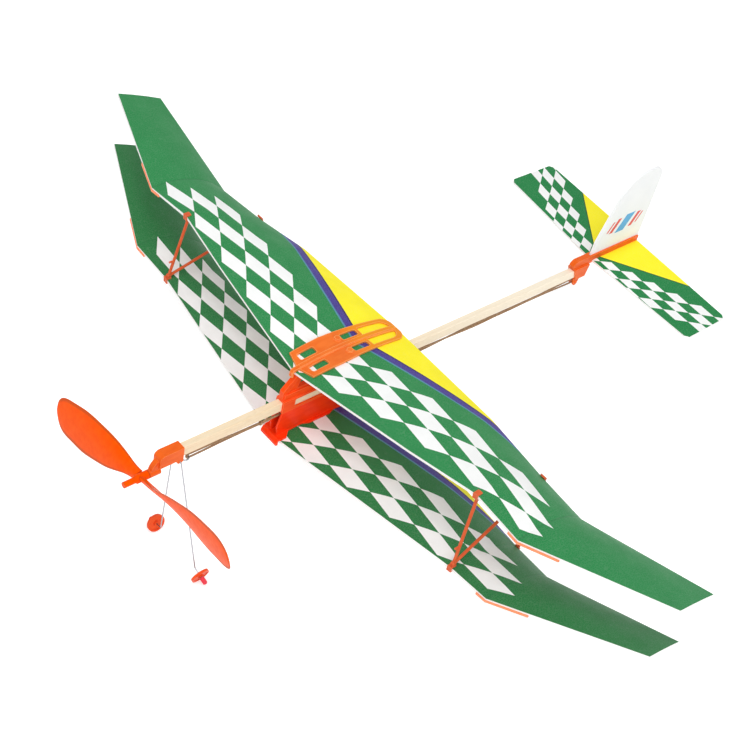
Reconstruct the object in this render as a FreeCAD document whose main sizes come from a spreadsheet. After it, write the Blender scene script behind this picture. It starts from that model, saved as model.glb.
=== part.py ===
import FreeCAD, Part
import math
import os
import Sketcher

# Rubber-driven stick biplane. Millimetres. +X is the port wing tip, +Y runs aft along the stick,
# +Z is up. The origin is the front end of the propeller's nose pin, on the thrust line.

SIZES = {
    # clearances
    "fit_gap": 0.05,            # between a moulding and what it grips
    "foam_gap": 0.1,            # between a moulding and the foam it seats on
    "running_gap": 0.3,         # between parts that turn past one another
    # fuselage stick
    "stick_width": 4.0,
    "stick_height": 6.0,
    "stick_bottom": 4.2,        # above the thrust line
    "stick_front": 20.0,
    "stick_length": 312.0,
    "stick_edge": 0.3,
    # nose bearing
    "bearing_wall": 0.85,
    "bearing_socket": 12.2,
    "bearing_cap": 1.5,
    "arm_width": 3.0,
    "boss_radius": 2.3,
    "boss_length": 6.0,
    "boss_ahead": 4.5,          # from the front of the block to the front of the boss
    "lug_length": 3.6,
    "lug_drop": 2.2,
    "lug_hole_drop": 1.25,
    # propeller
    "pin_radius": 1.6,
    "pin_length": 7.0,
    "hub_radius": 2.3,
    "propeller_radius": 74.8,
    "propeller_pitch": 77.4,
    "blade_chord": 23.7,
    "blade_thick": 2.6,
    "blade_thin": 0.8,
    "blade_rake": -2.6,
    "blade_shift": 1.5,
    "propeller_rest": 12.2,      # degrees the blades stand off level
    # propeller shaft
    "shaft_radius": 0.45,
    "shaft_bite": 10.0,         # length inside the hub
    "hook_radius": 2.0,
    "hook_reach": 3.7,          # from the start of the bend to the middle of the loop
    # rubber motor
    "strip_width": 1.8,
    "strip_thick": 0.9,
    "strip_join": 22.0,         # from the front hook to where the two runs meet
    "rear_join": 27.0,
    "knot_radius": 1.7,
    "knot_length": 4.4,
    "knot_aft": 45.0,
    "knot_tail": 3.0,
    # landing gear
    "gear_wire_radius": 0.35,
    "gear_drop": 76.2,
    "gear_rake": 5.34,          # degrees
    "gear_half_track": 21.0,
    "gear_bend": 1.2,
    "axle_droop": 15.0,         # degrees
    "axle_inner": 5.0,
    "wheel_radius": 5.2,
    "wheel_width": 1.4,
    "wheel_web": 0.8,
    "wheel_rim": 1.1,
    "wheel_hub_radius": 1.5,
    "wheel_hub_width": 2.4,
    "retainer_radius": 1.3,
    "retainer_length": 4.0,
    # tail mount
    "tail_clip_length": 13.0,
    "tail_clip_wall": 1.05,
    "tail_clip_slant": 5.0,     # how far the foot of the clip's front edge stands back
    "tail_rail_length": 61.8,
    "tail_rail_width": 3.8,
    "tail_rail_top": 17.0,
    "tail_wing_height": 12.6,   # middle of the tailplane above the thrust line
    "tail_wing_tilt": 5.0,      # degrees
    "tail_wing_setback": 5.0,   # behind the stick's end
    "fin_setback": 3.0,
    "hook_plate": 1.1,
    "hook_plate_gap": 2.4,
    "hook_plate_length": 5.6,
    "hook_plate_corner": 1.0,
    "peg_radius": 0.8,
    "peg_from_front": 7.0,
    # tail surfaces
    "tail_foam": 1.4,
    "tail_half_span": 79.0,
    "tail_root_chord": 44.0,
    "tail_tip_chord": 39.0,
    "tail_tip_round": 2.5,
    "fin_foot": 46.5,
    "fin_shoulder": 12.5,
    "fin_height": 56.6,
    "fin_top_aft": 35.5,
    "fin_lead_aft": 10.5,
    "fin_lead_height": 42.0,
    "fin_corner_drop": 8.0,
    # wing foam
    "foam": 1.8,
    "upper_root_le_y": 99.0, "upper_root_le_z": 27.6,
    "upper_root_te_y": 169.5, "upper_root_te_z": 26.3, "upper_root_sag": 3.2,
    "upper_bend_x": 78.0, "upper_bend_le_y": 107.5, "upper_bend_le_z": 36.3,
    "upper_bend_te_y": 166.5, "upper_bend_te_z": 26.8, "upper_bend_sag": 4.8,
    "upper_strut_x": 118.0, "upper_strut_le_y": 112.4, "upper_strut_le_z": 41.5,
    "upper_strut_te_y": 166.2, "upper_strut_te_z": 20.5, "upper_strut_sag": 6.4,
    "upper_kink_x": 148.0, "upper_kink_le_y": 109.9, "upper_kink_le_z": 41.4,
    "upper_kink_te_y": 161.1, "upper_kink_te_z": 23.0, "upper_kink_sag": 6.8,
    "upper_tip_x": 220.0, "upper_tip_le_y": 132.0, "upper_tip_le_z": 55.4,
    "upper_tip_te_y": 162.4, "upper_tip_te_z": 44.5, "upper_tip_sag": 0.4,
    "lower_root_le_y": 91.0, "lower_root_le_z": -14.6,
    "lower_root_te_y": 163.0, "lower_root_te_z": -17.6, "lower_root_sag": 2.8,
    "lower_bend_x": 78.0, "lower_bend_le_y": 100.5, "lower_bend_le_z": -7.8,
    "lower_bend_te_y": 160.0, "lower_bend_te_z": -20.0, "lower_bend_sag": 4.6,
    "lower_strut_x": 122.0, "lower_strut_le_y": 105.8, "lower_strut_le_z": -4.0,
    "lower_strut_te_y": 161.0, "lower_strut_te_z": -26.5, "lower_strut_sag": 6.4,
    "lower_kink_x": 148.0, "lower_kink_le_y": 102.6, "lower_kink_le_z": 3.0,
    "lower_kink_te_y": 152.8, "lower_kink_te_z": -16.8, "lower_kink_sag": 6.8,
    "lower_tip_x": 219.0, "lower_tip_le_y": 130.3, "lower_tip_le_z": 21.2,
    "lower_tip_te_y": 157.2, "lower_tip_te_z": 11.0, "lower_tip_sag": 0.4,
    # upper wing saddle and its studs
    "plate": 1.0,
    "saddle_front": 2.0,        # behind the leading edge
    "saddle_sweep": 2.4,
    "saddle_front_half": 10.2,
    "saddle_mid_half": 10.8,
    "saddle_rear_half": 8.9,
    "saddle_length": 68.0,
    "saddle_round": 5.5,
    "saddle_window": 20.0,
    "cut_reach": 25.0,          # how far a cut runs past the sheet that it trims
    "saddle_rib": 2.4,
    "saddle_rib_height": 0.8,
    "stud_radius": 1.2,
    "stud_head": 1.7,
    "stud_x": 5.2,
    "stud_aft": 32.0,
    # cabane
    "clip_wall": 1.1,
    "clip_lip": 0.85,
    "clip_floor": 1.0,
    "clip_front": 93.0,
    "clip_length": 48.0,
    "rail_height": 3.8,
    "rail_width": 4.6,
    "seat_half": 5.5,
    "seat_tail_half": 3.0,
    "seat_length": 62.0,
    "seat_straight": 40.0,
    "seat_setback": 1.5,        # behind the foam's leading edge
    "web": 1.8,
    "web_lintel": 3.0,          # left standing under the seat
    "web_window": 40.0,
    "post_width": 2.8,
    "post_depth": 3.0,
    "clip_window": 5.6,
    "clip_front_jaw": 8.0,      # closed length ahead of the window
    "clip_rear_jaw": 5.0,
    # lower wing holder and keel
    "holder_nose_half": 7.0,
    "holder_waist_half": 3.4,
    "holder_wide_half": 5.2,
    "holder_length": 52.0,
    "nose_lip": 1.9,
    "keel_half": 4.6,
    "keel_rib": 2.0,
    "pin_stud_radius": 0.8,
    "pin_stud_x": 4.1,
    "pin_stud_aft": 28.0,
    # struts and braces
    "strut_radius": 0.85,
    "edge_clip_half": 1.4,
    "edge_clip_reach": 2.6,
    "edge_clip_rear_reach": 2.0,
    "edge_clip_wall": 0.7,
    "strut_ball": 2.0,
    "strut_dot": 1.9,
    "strut_knuckle": 1.1,
    "strut_peg": 3.0,
    "brace_inner": 6.5,         # from the kink towards the root
    "brace_outer": 19.6,        # from the kink towards the tip
    "brace_reach": 2.0,
    "brace_wall": 0.5,
    "brace_height": 0.7,        # up the foam's front edge
}


class Size:
    """A number together with the document formula that drives it."""

    def __init__(self, value, formula=None):
        self.value = float(value)
        self.formula = formula or "(%r)" % float(value)

    def _with(self, other, sign, answer):
        other = size(other)
        return Size(answer(self.value, other.value), "(%s %s %s)" % (self.formula, sign, other.formula))

    def __add__(self, other):
        return self._with(other, "+", lambda a, b: a + b)

    def __sub__(self, other):
        return self._with(other, "-", lambda a, b: a - b)

    def __mul__(self, other):
        return self._with(other, "*", lambda a, b: a * b)

    def __truediv__(self, other):
        return self._with(other, "/", lambda a, b: a / b)

    def __radd__(self, other):
        return size(other) + self

    def __rsub__(self, other):
        return size(other) - self

    def __rmul__(self, other):
        return size(other) * self

    def __rtruediv__(self, other):
        return size(other) / self

    def __neg__(self):
        return -1 * self

    def root(self):
        return Size(math.sqrt(self.value), "sqrt(%s)" % self.formula)

    def sine(self):
        return Size(math.sin(math.radians(self.value)), "sin(%s)" % self.formula)

    def cosine(self):
        return Size(math.cos(math.radians(self.value)), "cos(%s)" % self.formula)

    def arc_sine(self):
        return Size(math.degrees(math.asin(self.value)), "asin(%s)" % self.formula)


def size(item):
    return item if isinstance(item, Size) else Size(item)


def heading(along, across):
    """The angle in degrees of a direction, turned from the first way towards the second."""
    return Size(math.degrees(math.atan2(across.value, along.value)), "atan2(%s; %s)" % (across.formula, along.formula))


doc = FreeCAD.newDocument("stick_biplane")
sheet = doc.addObject("Spreadsheet::Sheet", "sizes")
for row, (word, number) in enumerate(SIZES.items(), start=1):
    sheet.set("A%d" % row, word)
    sheet.set("B%d" % row, "%g" % number)
    sheet.setAlias("B%d" % row, word)
layout = doc.addObject("App::VarSet", "layout")
doc.recompute()


class Sheet:
    """Each size by its name."""

    def __getattr__(self, word):
        return Size(SIZES[word], "sizes.%s" % word)


z = Sheet()


def derived(name, item):
    """Keep a worked-out number under its own name, so that later formulas stay short."""
    layout.addProperty("App::PropertyFloat", name)
    layout.setExpression(name, item.formula)
    return Size(item.value, "layout.%s" % name)


# ---------------------------------------------------------------- sketches and features

def new_body(name):
    body = doc.addObject("PartDesign::Body", name)
    body.Label = name
    return body


def origin_feature(body, role):
    return [item for item in body.Origin.OriginFeatures if item.Role == role][0]


def place(item, prop, at, turns=()):
    """Bind a placement: where it stands, and the turns (axis, degrees) that it makes there."""
    at = [size(value) for value in at]
    rotation = FreeCAD.Rotation()
    words = []
    for axis, angle in turns:
        angle = size(angle)
        rotation = rotation * FreeCAD.Rotation(FreeCAD.Vector(*axis), angle.value)
        words.append("rotation(vector(%d; %d; %d); %s)" % (*axis, angle.formula))
    setattr(item, prop, FreeCAD.Placement(FreeCAD.Vector(*[value.value for value in at]), rotation))
    turn = " * ".join(words) or "rotation(vector(0; 0; 1); 0)"
    item.setExpression(prop, "placement(vector(%s; %s; %s); %s)" % (*[v.formula for v in at], turn))


def new_sketch(body, name, role, lift=0, at=(0, 0), turns=()):
    """A sketch on one of the body's own planes, moved by lift along the plane's normal."""
    sketch = body.newObject("Sketcher::SketchObject", body.Name + "_" + name)
    sketch.AttachmentSupport = [(origin_feature(body, role), "")]
    sketch.MapMode = "FlatFace"
    place(sketch, "AttachmentOffset", (at[0], at[1], lift), turns)
    return sketch


def pin_down(sketch, kind, where, item):
    item = size(item)
    index = sketch.addConstraint(Sketcher.Constraint(kind, *where, item.value))
    sketch.setExpression("Constraints[%d]" % index, item.formula)


def draw_line_or_arc(sketch, start, end, radius, side):
    """Add one edge and say which of its ends (1 or 2) is its first corner."""
    a = FreeCAD.Vector(size(start[0]).value, size(start[1]).value, 0)
    b = FreeCAD.Vector(size(end[0]).value, size(end[1]).value, 0)
    if radius is None:
        return sketch.addGeometry(Part.LineSegment(a, b), False), 1
    across = b - a
    left = FreeCAD.Vector(-across.y, across.x, 0).normalize()
    depth = math.sqrt(max(radius.value ** 2 - across.Length ** 2 / 4, 0))
    middle = (a + b) * 0.5 + left * (side * depth)
    first, last = (a, b) if side > 0 else (b, a)
    turn_a = math.atan2(first.y - middle.y, first.x - middle.x)
    turn_b = math.atan2(last.y - middle.y, last.x - middle.x)
    if turn_b < turn_a:
        turn_b += 2 * math.pi
    circle = Part.Circle(middle, FreeCAD.Vector(0, 0, 1), radius.value)
    index = sketch.addGeometry(Part.ArcOfCircle(circle, turn_a, turn_b), False)
    pin_down(sketch, "Radius", (index,), radius)
    return index, (1 if side > 0 else 2)


def draw(sketch, corners, closed=True):
    """Join corners (u, v) by lines. A corner (u, v, radius, side) starts an arc, whose middle
    lies to the left (side 1) or to the right (side -1) of the way to the next corner."""
    count = len(corners)
    edges = []
    for index in range(count if closed else count - 1):
        here, there = corners[index], corners[(index + 1) % count]
        radius, side = (size(here[2]), here[3]) if len(here) > 2 else (None, 1)
        edges.append(draw_line_or_arc(sketch, here, there, radius, side))
    for index, (edge, first) in enumerate(edges):
        if index or closed:
            before, before_first = edges[index - 1]
            sketch.addConstraint(Sketcher.Constraint("Coincident", before, 3 - before_first, edge, first))
        pin_down(sketch, "DistanceX", (-1, 1, edge, first), corners[index][0])
        pin_down(sketch, "DistanceY", (-1, 1, edge, first), corners[index][1])
    if not closed:
        edge, first = edges[-1]
        pin_down(sketch, "DistanceX", (-1, 1, edge, 3 - first), corners[-1][0])
        pin_down(sketch, "DistanceY", (-1, 1, edge, 3 - first), corners[-1][1])


def draw_circle(sketch, u, v, radius):
    centre = FreeCAD.Vector(size(u).value, size(v).value, 0)
    circle = Part.Circle(centre, FreeCAD.Vector(0, 0, 1), size(radius).value)
    index = sketch.addGeometry(circle, False)
    pin_down(sketch, "Radius", (index,), radius)
    pin_down(sketch, "DistanceX", (-1, 1, index, 3), u)
    pin_down(sketch, "DistanceY", (-1, 1, index, 3), v)


def box(u0, v0, u1, v1):
    return [(u0, v0), (u1, v0), (u1, v1), (u0, v1)]


def centred(width, v0, v1):
    return box(-width / 2, v0, width / 2, v1)


def slot(u0, v0, u1, v1, radius):
    """A rectangle with rounded corners."""
    r = size(radius)
    return [(u0 + r, v0), (u1 - r, v0, r, 1), (u1, v0 + r), (u1, v1 - r, r, 1),
            (u1 - r, v1), (u0 + r, v1, r, 1), (u0, v1 - r), (u0, v0 + r, r, 1)]


def mirrored(corners):
    """The same outline on the other side of the middle plane, still drawn the same way round."""
    flipped = []
    count = len(corners)
    for index in range(count - 1, -1, -1):
        here, before = corners[index], corners[index - 1]
        arc = before[2:] if len(before) > 2 else ()
        flipped.append((-size(here[0]), here[1], *arc))
    return flipped


def prism(body, name, role, outlines, start, end, cut=False, circles=()):
    """Extrude outlines from start to end along the axis that the plane faces, or cut them away."""
    facing = -1 if role == "XZ_Plane" else 1
    sketch = new_sketch(body, name + "_outline", role, lift=facing * size(start))
    for outline in outlines:
        draw(sketch, outline)
    for circle in circles:
        draw_circle(sketch, *circle)
    feature = body.newObject("PartDesign::Pocket" if cut else "PartDesign::Pad", body.Name + "_" + name)
    feature.Profile = sketch
    depth = size(end) - size(start)
    feature.Length = depth.value
    feature.setExpression("Length", depth.formula)
    feature.Reversed = (facing > 0) if cut else (facing < 0)
    sketch.Visibility = False
    return feature


def slab(body, name, role, outlines, width, cut=False, circles=()):
    """Extrude outlines by half of width to each side of the plane, or cut them away."""
    return prism(body, name, role, outlines, -size(width) / 2, size(width) / 2, cut, circles)


def turned(body, name, role, outline, axis_role, cut=False):
    """Turn an outline once round one of the body's axes."""
    sketch = new_sketch(body, name + "_outline", role)
    draw(sketch, outline)
    kind = "PartDesign::Groove" if cut else "PartDesign::Revolution"
    feature = body.newObject(kind, body.Name + "_" + name)
    feature.Profile = sketch
    feature.ReferenceAxis = (origin_feature(body, axis_role), [""])
    feature.Angle = 360
    return feature


def loft(body, name, sketches, ruled=True, cut=False):
    kind = "PartDesign::SubtractiveLoft" if cut else "PartDesign::AdditiveLoft"
    feature = body.newObject(kind, body.Name + "_" + name)
    feature.Profile = sketches[0]
    feature.Sections = sketches[1:]
    feature.Ruled = ruled
    return feature


def mirror(body, name, originals, role="YZ_Plane"):
    feature = body.newObject("PartDesign::Mirrored", body.Name + "_" + name)
    feature.Originals = originals
    feature.MirrorPlane = (origin_feature(body, role), [""])
    body.Tip = feature
    return feature


def ball(body, name, centre, radius):
    """A ball from a half disc turned about its own upright line."""
    x, y, up = [size(value) for value in centre]
    sketch = new_sketch(body, name + "_half", "YZ_Plane", lift=x, at=(y, up))
    draw(sketch, [(0, -radius, radius, 1), (radius, 0, radius, 1), (0, radius)])
    feature = body.newObject("PartDesign::Revolution", body.Name + "_" + name)
    feature.Profile = sketch
    feature.ReferenceAxis = (sketch, ["V_Axis"])
    feature.Angle = 360
    return feature


def rod(body, name, start, end, radius):
    """A straight round rod from one point to another."""
    start = [size(value) for value in start]
    dx, dy, dz = [b - a for a, b in zip(start, end)]
    length = (dx * dx + dy * dy + dz * dz).root()
    turns = [((0, 1, 0), heading(dz, dx)), ((1, 0, 0), -(dy / length).arc_sine())]
    sketch = new_sketch(body, name + "_section", "XY_Plane", lift=start[2], at=start[:2], turns=turns)
    draw_circle(sketch, 0, 0, radius)
    return extruded(body, name, sketch, length)


def wire(body, name, role, path, radius):
    """A round wire along a flat path, as straight runs joined by tangent bends."""
    features = []
    for index, (here, there) in enumerate(zip(path, path[1:])):
        label = "%s_%d" % (name, index)
        du, dv = size(there[0]) - here[0], size(there[1]) - here[1]
        length = (du * du + dv * dv).root()
        way = heading(du, dv)
        if len(here) == 2:
            sketch = wire_section(body, label, role, here, way, radius)
            features.append(extruded(body, label, sketch, length))
            continue
        bend, side = size(here[2]), here[3]
        half_turn = (length / (2 * bend)).arc_sine()
        sketch = wire_section(body, label, role, here, way - side * half_turn, radius)
        axis = sketch.addGeometry(Part.LineSegment(FreeCAD.Vector(side, side * bend.value, 0),
                                                   FreeCAD.Vector(-side, side * bend.value, 0)), True)
        for end, u in ((1, side), (2, -side)):
            pin_down(sketch, "DistanceX", (-1, 1, axis, end), u)
            pin_down(sketch, "DistanceY", (-1, 1, axis, end), side * bend)
        feature = body.newObject("PartDesign::Revolution", body.Name + "_" + label)
        feature.Profile = sketch
        feature.ReferenceAxis = (sketch, ["Axis0"])
        feature.Angle = 2 * half_turn.value
        feature.setExpression("Angle", (2 * half_turn).formula)
        features.append(feature)
    return features


def wire_section(body, label, role, at, way, radius):
    """The wire's round section, square to the way that it leaves a point of the plane."""
    turns = [((0, 0, 1), way), ((0, 1, 0), 90)]
    sketch = new_sketch(body, label + "_section", role, at=at[:2], turns=turns)
    draw_circle(sketch, 0, 0, radius)
    return sketch


def extruded(body, name, sketch, length):
    feature = body.newObject("PartDesign::Pad", body.Name + "_" + name)
    feature.Profile = sketch
    feature.Length = length.value
    feature.setExpression("Length", length.formula)
    return feature


def rounded(points, radius):
    """A path through points whose corners are tangent arcs."""
    radius = size(radius)
    path = [points[0]]
    for before, here, after in zip(points, points[1:], points[2:]):
        (ax, ay), (bx, by) = unit(before, here), unit(here, after)
        cross = ax * by - ay * bx
        side = 1 if cross.value > 0 else -1
        reach = radius * (cross * side) / (1 + ax * bx + ay * by)
        path.append((here[0] - ax * reach, here[1] - ay * reach, radius, side))
        path.append((here[0] + bx * reach, here[1] + by * reach))
    path.append(points[-1])
    return path


def unit(start, end):
    du, dv = size(end[0]) - start[0], size(end[1]) - start[1]
    length = (du * du + dv * dv).root()
    return du / length, dv / length


# ---------------------------------------------------------------- fuselage stick and nose

stick_rear = derived("stick_rear", z.stick_front + z.stick_length)
stick_top = derived("stick_top", z.stick_bottom + z.stick_height)
block_front = derived("block_front", z.stick_front - z.bearing_cap)
block_rear = derived("block_rear", z.stick_front + z.bearing_socket)
block_bottom = derived("block_bottom", z.stick_bottom - z.fit_gap - z.bearing_wall)
block_top = derived("block_top", stick_top + z.fit_gap + z.bearing_wall)
block_width = derived("block_width", z.stick_width + 2 * (z.fit_gap + z.bearing_wall))
boss_front = derived("boss_front", block_front - z.boss_ahead)
boss_rear = derived("boss_rear", boss_front + z.boss_length)
hub_rear = derived("hub_rear", boss_front - z.running_gap)
lug_bottom = derived("lug_bottom", block_bottom - z.lug_drop)
lug_hole_y = derived("lug_hole_y", block_rear - z.lug_length / 2)
lug_hole_z = derived("lug_hole_z", block_bottom - z.lug_hole_drop)


def fuselage_stick():
    body = new_body("fuselage_stick")
    pad = prism(body, "bar", "XZ_Plane", [centred(z.stick_width, z.stick_bottom, stick_top)],
                z.stick_front, stick_rear)
    doc.recompute()
    edges = ["Edge%d" % (i + 1) for i, e in enumerate(pad.Shape.Edges)
             if e.BoundBox.YLength > pad.Shape.BoundBox.YLength / 2]
    chamfer = body.newObject("PartDesign::Chamfer", "fuselage_stick_corners")
    chamfer.Base = (pad, edges)
    chamfer.setExpression("Size", "sizes.stick_edge")
    return body


def nose_bearing():
    body = new_body("nose_bearing")
    slab(body, "block", "YZ_Plane",
         [[(block_front, block_bottom), (block_rear, block_bottom), (block_rear, block_top),
           (block_front + 3, block_top, size(3), 1), (block_front, block_top - 3)]], block_width)
    neck = z.boss_radius * 0.8
    slab(body, "arm", "YZ_Plane",
         [[(boss_front + 0.6, 0), (boss_rear, 0), (boss_rear, neck, size(3.2), -1),
           (block_front + 3, block_bottom + 0.4), (block_front + 3, block_top - 2.4),
           (block_front + 0.4, block_top - 3, size(9), 1), (boss_front + 0.6, neck)]], z.arm_width)
    prism(body, "boss", "XZ_Plane", [], boss_front, boss_rear, circles=[(0, 0, z.boss_radius)])
    slab(body, "lug", "YZ_Plane",
         [[(block_rear - z.lug_length, block_bottom + 0.3), (block_rear - z.lug_length, lug_bottom + 1),
           (block_rear - z.lug_length + 0.8, lug_bottom), (block_rear - 0.8, lug_bottom),
           (block_rear, lug_bottom + 1), (block_rear, block_bottom + 0.3)]], block_width)
    prism(body, "socket", "XZ_Plane",
          [centred(z.stick_width + 2 * z.fit_gap, z.stick_bottom - z.fit_gap, stick_top + z.fit_gap)],
          z.stick_front, block_rear + 1, cut=True)
    prism(body, "shaft_bore", "XZ_Plane", [], boss_front - 1, boss_rear + 1, cut=True,
          circles=[(0, 0, z.shaft_radius + z.fit_gap)])
    slab(body, "axle_hole", "YZ_Plane", [], block_width + 2, cut=True,
         circles=[(lug_hole_y, lug_hole_z, z.gear_wire_radius + z.fit_gap)])
    return body


# ---------------------------------------------------------------- propeller and shaft

# share of the tip radius, share of the widest chord, share of the way from thick to thin
BLADE_PLAN = [(0.026, 0.25, 0.0), (0.12, 0.30, 0.1), (0.21, 0.43, 0.3), (0.35, 0.68, 0.5), (0.52, 0.88, 0.65),
              (0.68, 1.0, 0.78), (0.83, 0.95, 0.88), (0.92, 0.87, 0.93), (0.97, 0.68, 0.97), (1.0, 0.36, 1.0)]
FLATTEST = 0.19                 # inside this share of the radius the twist grows no further


def blade_section(body, index, share, width, thin):
    """One lens-shaped section, set at the angle that the pitch gives at its radius."""
    chord = z.blade_chord * width
    thick = z.blade_thick + (z.blade_thin - z.blade_thick) * thin
    way = 2 * math.pi * z.propeller_radius * max(share, FLATTEST)
    length = (way * way + z.propeller_pitch * z.propeller_pitch).root()
    sine, cosine = z.propeller_pitch / length, way / length
    middle = (z.pin_length + hub_rear) / 2 + z.blade_rake * (share * share)
    ahead, behind = chord / 2 + z.blade_shift * width, chord / 2 - z.blade_shift * width
    front_sag, back_sag = thick * 0.75, thick * 0.25
    front_radius = derived("blade_front_radius_%d" % index,
                           (chord * chord / 4 + front_sag * front_sag) / (2 * front_sag))
    back_radius = derived("blade_back_radius_%d" % index,
                          (chord * chord / 4 + back_sag * back_sag) / (2 * back_sag))
    sketch = new_sketch(body, "section%d" % index, "YZ_Plane", lift=z.propeller_radius * share)
    lead = (middle - sine * ahead, cosine * ahead)
    trail = (middle + sine * behind, -(cosine * behind))
    draw(sketch, [(*lead, front_radius, 1), (*trail, back_radius, 1)])
    return sketch


def propeller():
    body = new_body("propeller")
    place(body, "Placement", (0, 0, 0), [((0, 1, 0), -z.propeller_rest)])
    blade = loft(body, "blade", [blade_section(body, i, *row) for i, row in enumerate(BLADE_PLAN)], ruled=False)
    pair = body.newObject("PartDesign::PolarPattern", "propeller_blades")
    pair.Originals = [blade]
    pair.Axis = (origin_feature(body, "Y_Axis"), [""])
    pair.Angle = 360
    pair.Occurrences = 2
    body.Tip = pair
    turned(body, "hub", "XY_Plane",
           [(0, 0), (z.pin_radius, 0), (z.pin_radius, z.pin_length - z.hub_radius + z.pin_radius),
            (z.hub_radius, z.pin_length), (z.hub_radius, hub_rear), (0, hub_rear)], "Y_Axis")
    prism(body, "shaft_hole", "XZ_Plane", [], hub_rear - z.shaft_bite, hub_rear + 1, cut=True,
          circles=[(0, 0, z.shaft_radius + z.fit_gap)])
    return body


bend_start = derived("bend_start", block_rear - 0.7)
loop_middle = derived("loop_middle", bend_start + z.hook_reach)
loop_rear = derived("loop_rear", loop_middle + z.hook_radius)


def prop_shaft():
    """A straight wire that swings out of line and closes into a round hook."""
    body = new_body("prop_shaft")
    swing = (z.hook_reach * z.hook_reach - z.hook_radius * z.hook_radius) / (2 * z.hook_radius)
    swing = derived("hook_swing", swing)
    share = swing / (swing + z.hook_radius)
    meet_y = bend_start + z.hook_reach * share
    meet_x = swing - swing * share
    path = [(0, hub_rear - z.shaft_bite), (0, bend_start, swing, -1), (meet_x, meet_y, z.hook_radius, 1),
            (0, loop_rear, z.hook_radius, 1), (-z.hook_radius * 0.8, loop_middle - z.hook_radius * 0.6)]
    wire(body, "hook", "XY_Plane", path[:1] + [(0, bend_start)], z.shaft_radius)
    wire(body, "loop", "XY_Plane", path[1:], z.shaft_radius)
    return body


# ---------------------------------------------------------------- tail mount

clip_width = derived("tail_clip_width", z.stick_width + 2 * (z.fit_gap + z.tail_clip_wall))
tail_front = derived("tail_front", stick_rear - z.tail_clip_length)
tail_rear = derived("tail_rear", tail_front + z.tail_rail_length)
tail_bottom = derived("tail_bottom", z.stick_bottom - z.fit_gap - z.tail_clip_wall)
rail_bottom = derived("rail_bottom", stick_top + z.fit_gap + z.tail_clip_wall)
peg_y = derived("peg_y", tail_front + z.peg_from_front)
tail_wing_front = derived("tail_wing_front", stick_rear + z.tail_wing_setback)
fin_front = derived("fin_front", stick_rear + z.fin_setback)
fin_foot_z = derived("fin_foot_z", z.tail_wing_height + z.tail_foam / 2 + 0.75)


def tail_mount():
    body = new_body("tail_mount")
    slab(body, "clip", "YZ_Plane",
         [[(tail_front + z.tail_clip_slant, tail_bottom), (stick_rear + z.tail_clip_wall / 2, tail_bottom),
           (stick_rear + 2 * z.tail_clip_wall, rail_bottom), (stick_rear + 2 * z.tail_clip_wall, rail_bottom + 0.4),
           (tail_front + z.tail_clip_wall, rail_bottom + 0.4)]], clip_width)
    slab(body, "rail", "YZ_Plane",
         [[(tail_front + z.tail_clip_wall, rail_bottom), (tail_rear, rail_bottom), (tail_rear, z.tail_rail_top),
           (tail_front + 4, z.tail_rail_top, size(4), 1), (tail_front, z.tail_rail_top - 3)]], z.tail_rail_width)
    half, corner = z.hook_plate_length / 2, z.hook_plate_corner
    plate = [(peg_y - half, tail_bottom + 0.3), (peg_y - half + corner, -z.peg_radius - 0.4, (half - corner) * 1.05, 1),
             (peg_y + half - corner, -z.peg_radius - 0.4), (peg_y + half, tail_bottom + 0.3)]
    inner = z.hook_plate_gap / 2
    prism(body, "hook_port", "YZ_Plane", [plate], inner, inner + z.hook_plate)
    prism(body, "hook_starboard", "YZ_Plane", [plate], -(inner + z.hook_plate), -inner)
    slab(body, "peg", "YZ_Plane", [], z.hook_plate_gap + 2 * z.hook_plate + 1,
         circles=[(peg_y, 0, z.peg_radius)])
    prism(body, "socket", "XZ_Plane",
          [centred(z.stick_width + 2 * z.fit_gap, z.stick_bottom - z.fit_gap, stick_top + z.fit_gap)],
          tail_front - 1, stick_rear, cut=True)
    prism(body, "fin_slot", "XZ_Plane",
          [centred(z.tail_foam + 2 * z.fit_gap, fin_foot_z - z.fit_gap, z.tail_rail_top + 1)],
          fin_front - 0.5, tail_rear + 1, cut=True)
    doc.recompute()
    sketch = new_sketch(body, "wing_slot_outline", "XZ_Plane", lift=-tail_wing_front + z.fit_gap,
                        at=(0, z.tail_wing_height), turns=[((0, 0, 1), -z.tail_wing_tilt)])
    draw(sketch, centred(z.tail_rail_width + 4, -(z.tail_foam / 2 + z.fit_gap), z.tail_foam / 2 + z.fit_gap))
    cut = body.newObject("PartDesign::Pocket", "tail_mount_wing_slot")
    cut.Profile = sketch
    cut.setExpression("Length", (tail_rear - tail_wing_front + 2).formula)
    return body


def horizontal_stabilizer():
    body = new_body("horizontal_stabilizer")
    place(body, "Placement", (0, 0, z.tail_wing_height), [((0, 1, 0), z.tail_wing_tilt)])
    rear = tail_wing_front + z.tail_root_chord
    tip_front = rear - z.tail_tip_chord
    r, half = z.tail_tip_round, z.tail_half_span
    sketch = [(-half + r, rear), (-half, rear - r), (-half, tip_front + r), (-half + r, tip_front),
              (0, tail_wing_front), (half - r, tip_front), (half, tip_front + r), (half, rear - r), (half - r, rear)]
    slab(body, "sheet", "XY_Plane", [sketch], z.tail_foam)
    return body


def vertical_fin():
    body = new_body("vertical_fin")
    front, foot = fin_front, fin_foot_z
    rear = front + z.fin_foot
    outline = [(front, foot), (rear, foot), (rear, foot + z.fin_height - z.fin_corner_drop, size(9), 1),
               (front + z.fin_top_aft, foot + z.fin_height, size(26), 1),
               (front + z.fin_lead_aft, foot + z.fin_lead_height), (front + 1, foot + z.fin_shoulder)]
    slab(body, "sheet", "YZ_Plane", [outline], z.tail_foam)
    return body


# ---------------------------------------------------------------- rubber motor

def round_end(middle, radius, facing):
    """Corners of half a circle, as two quarters, on the side that it faces."""
    return [(middle, -facing * radius, radius, 1), (middle + facing * radius, 0, radius, 1),
            (middle, facing * radius)]


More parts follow.
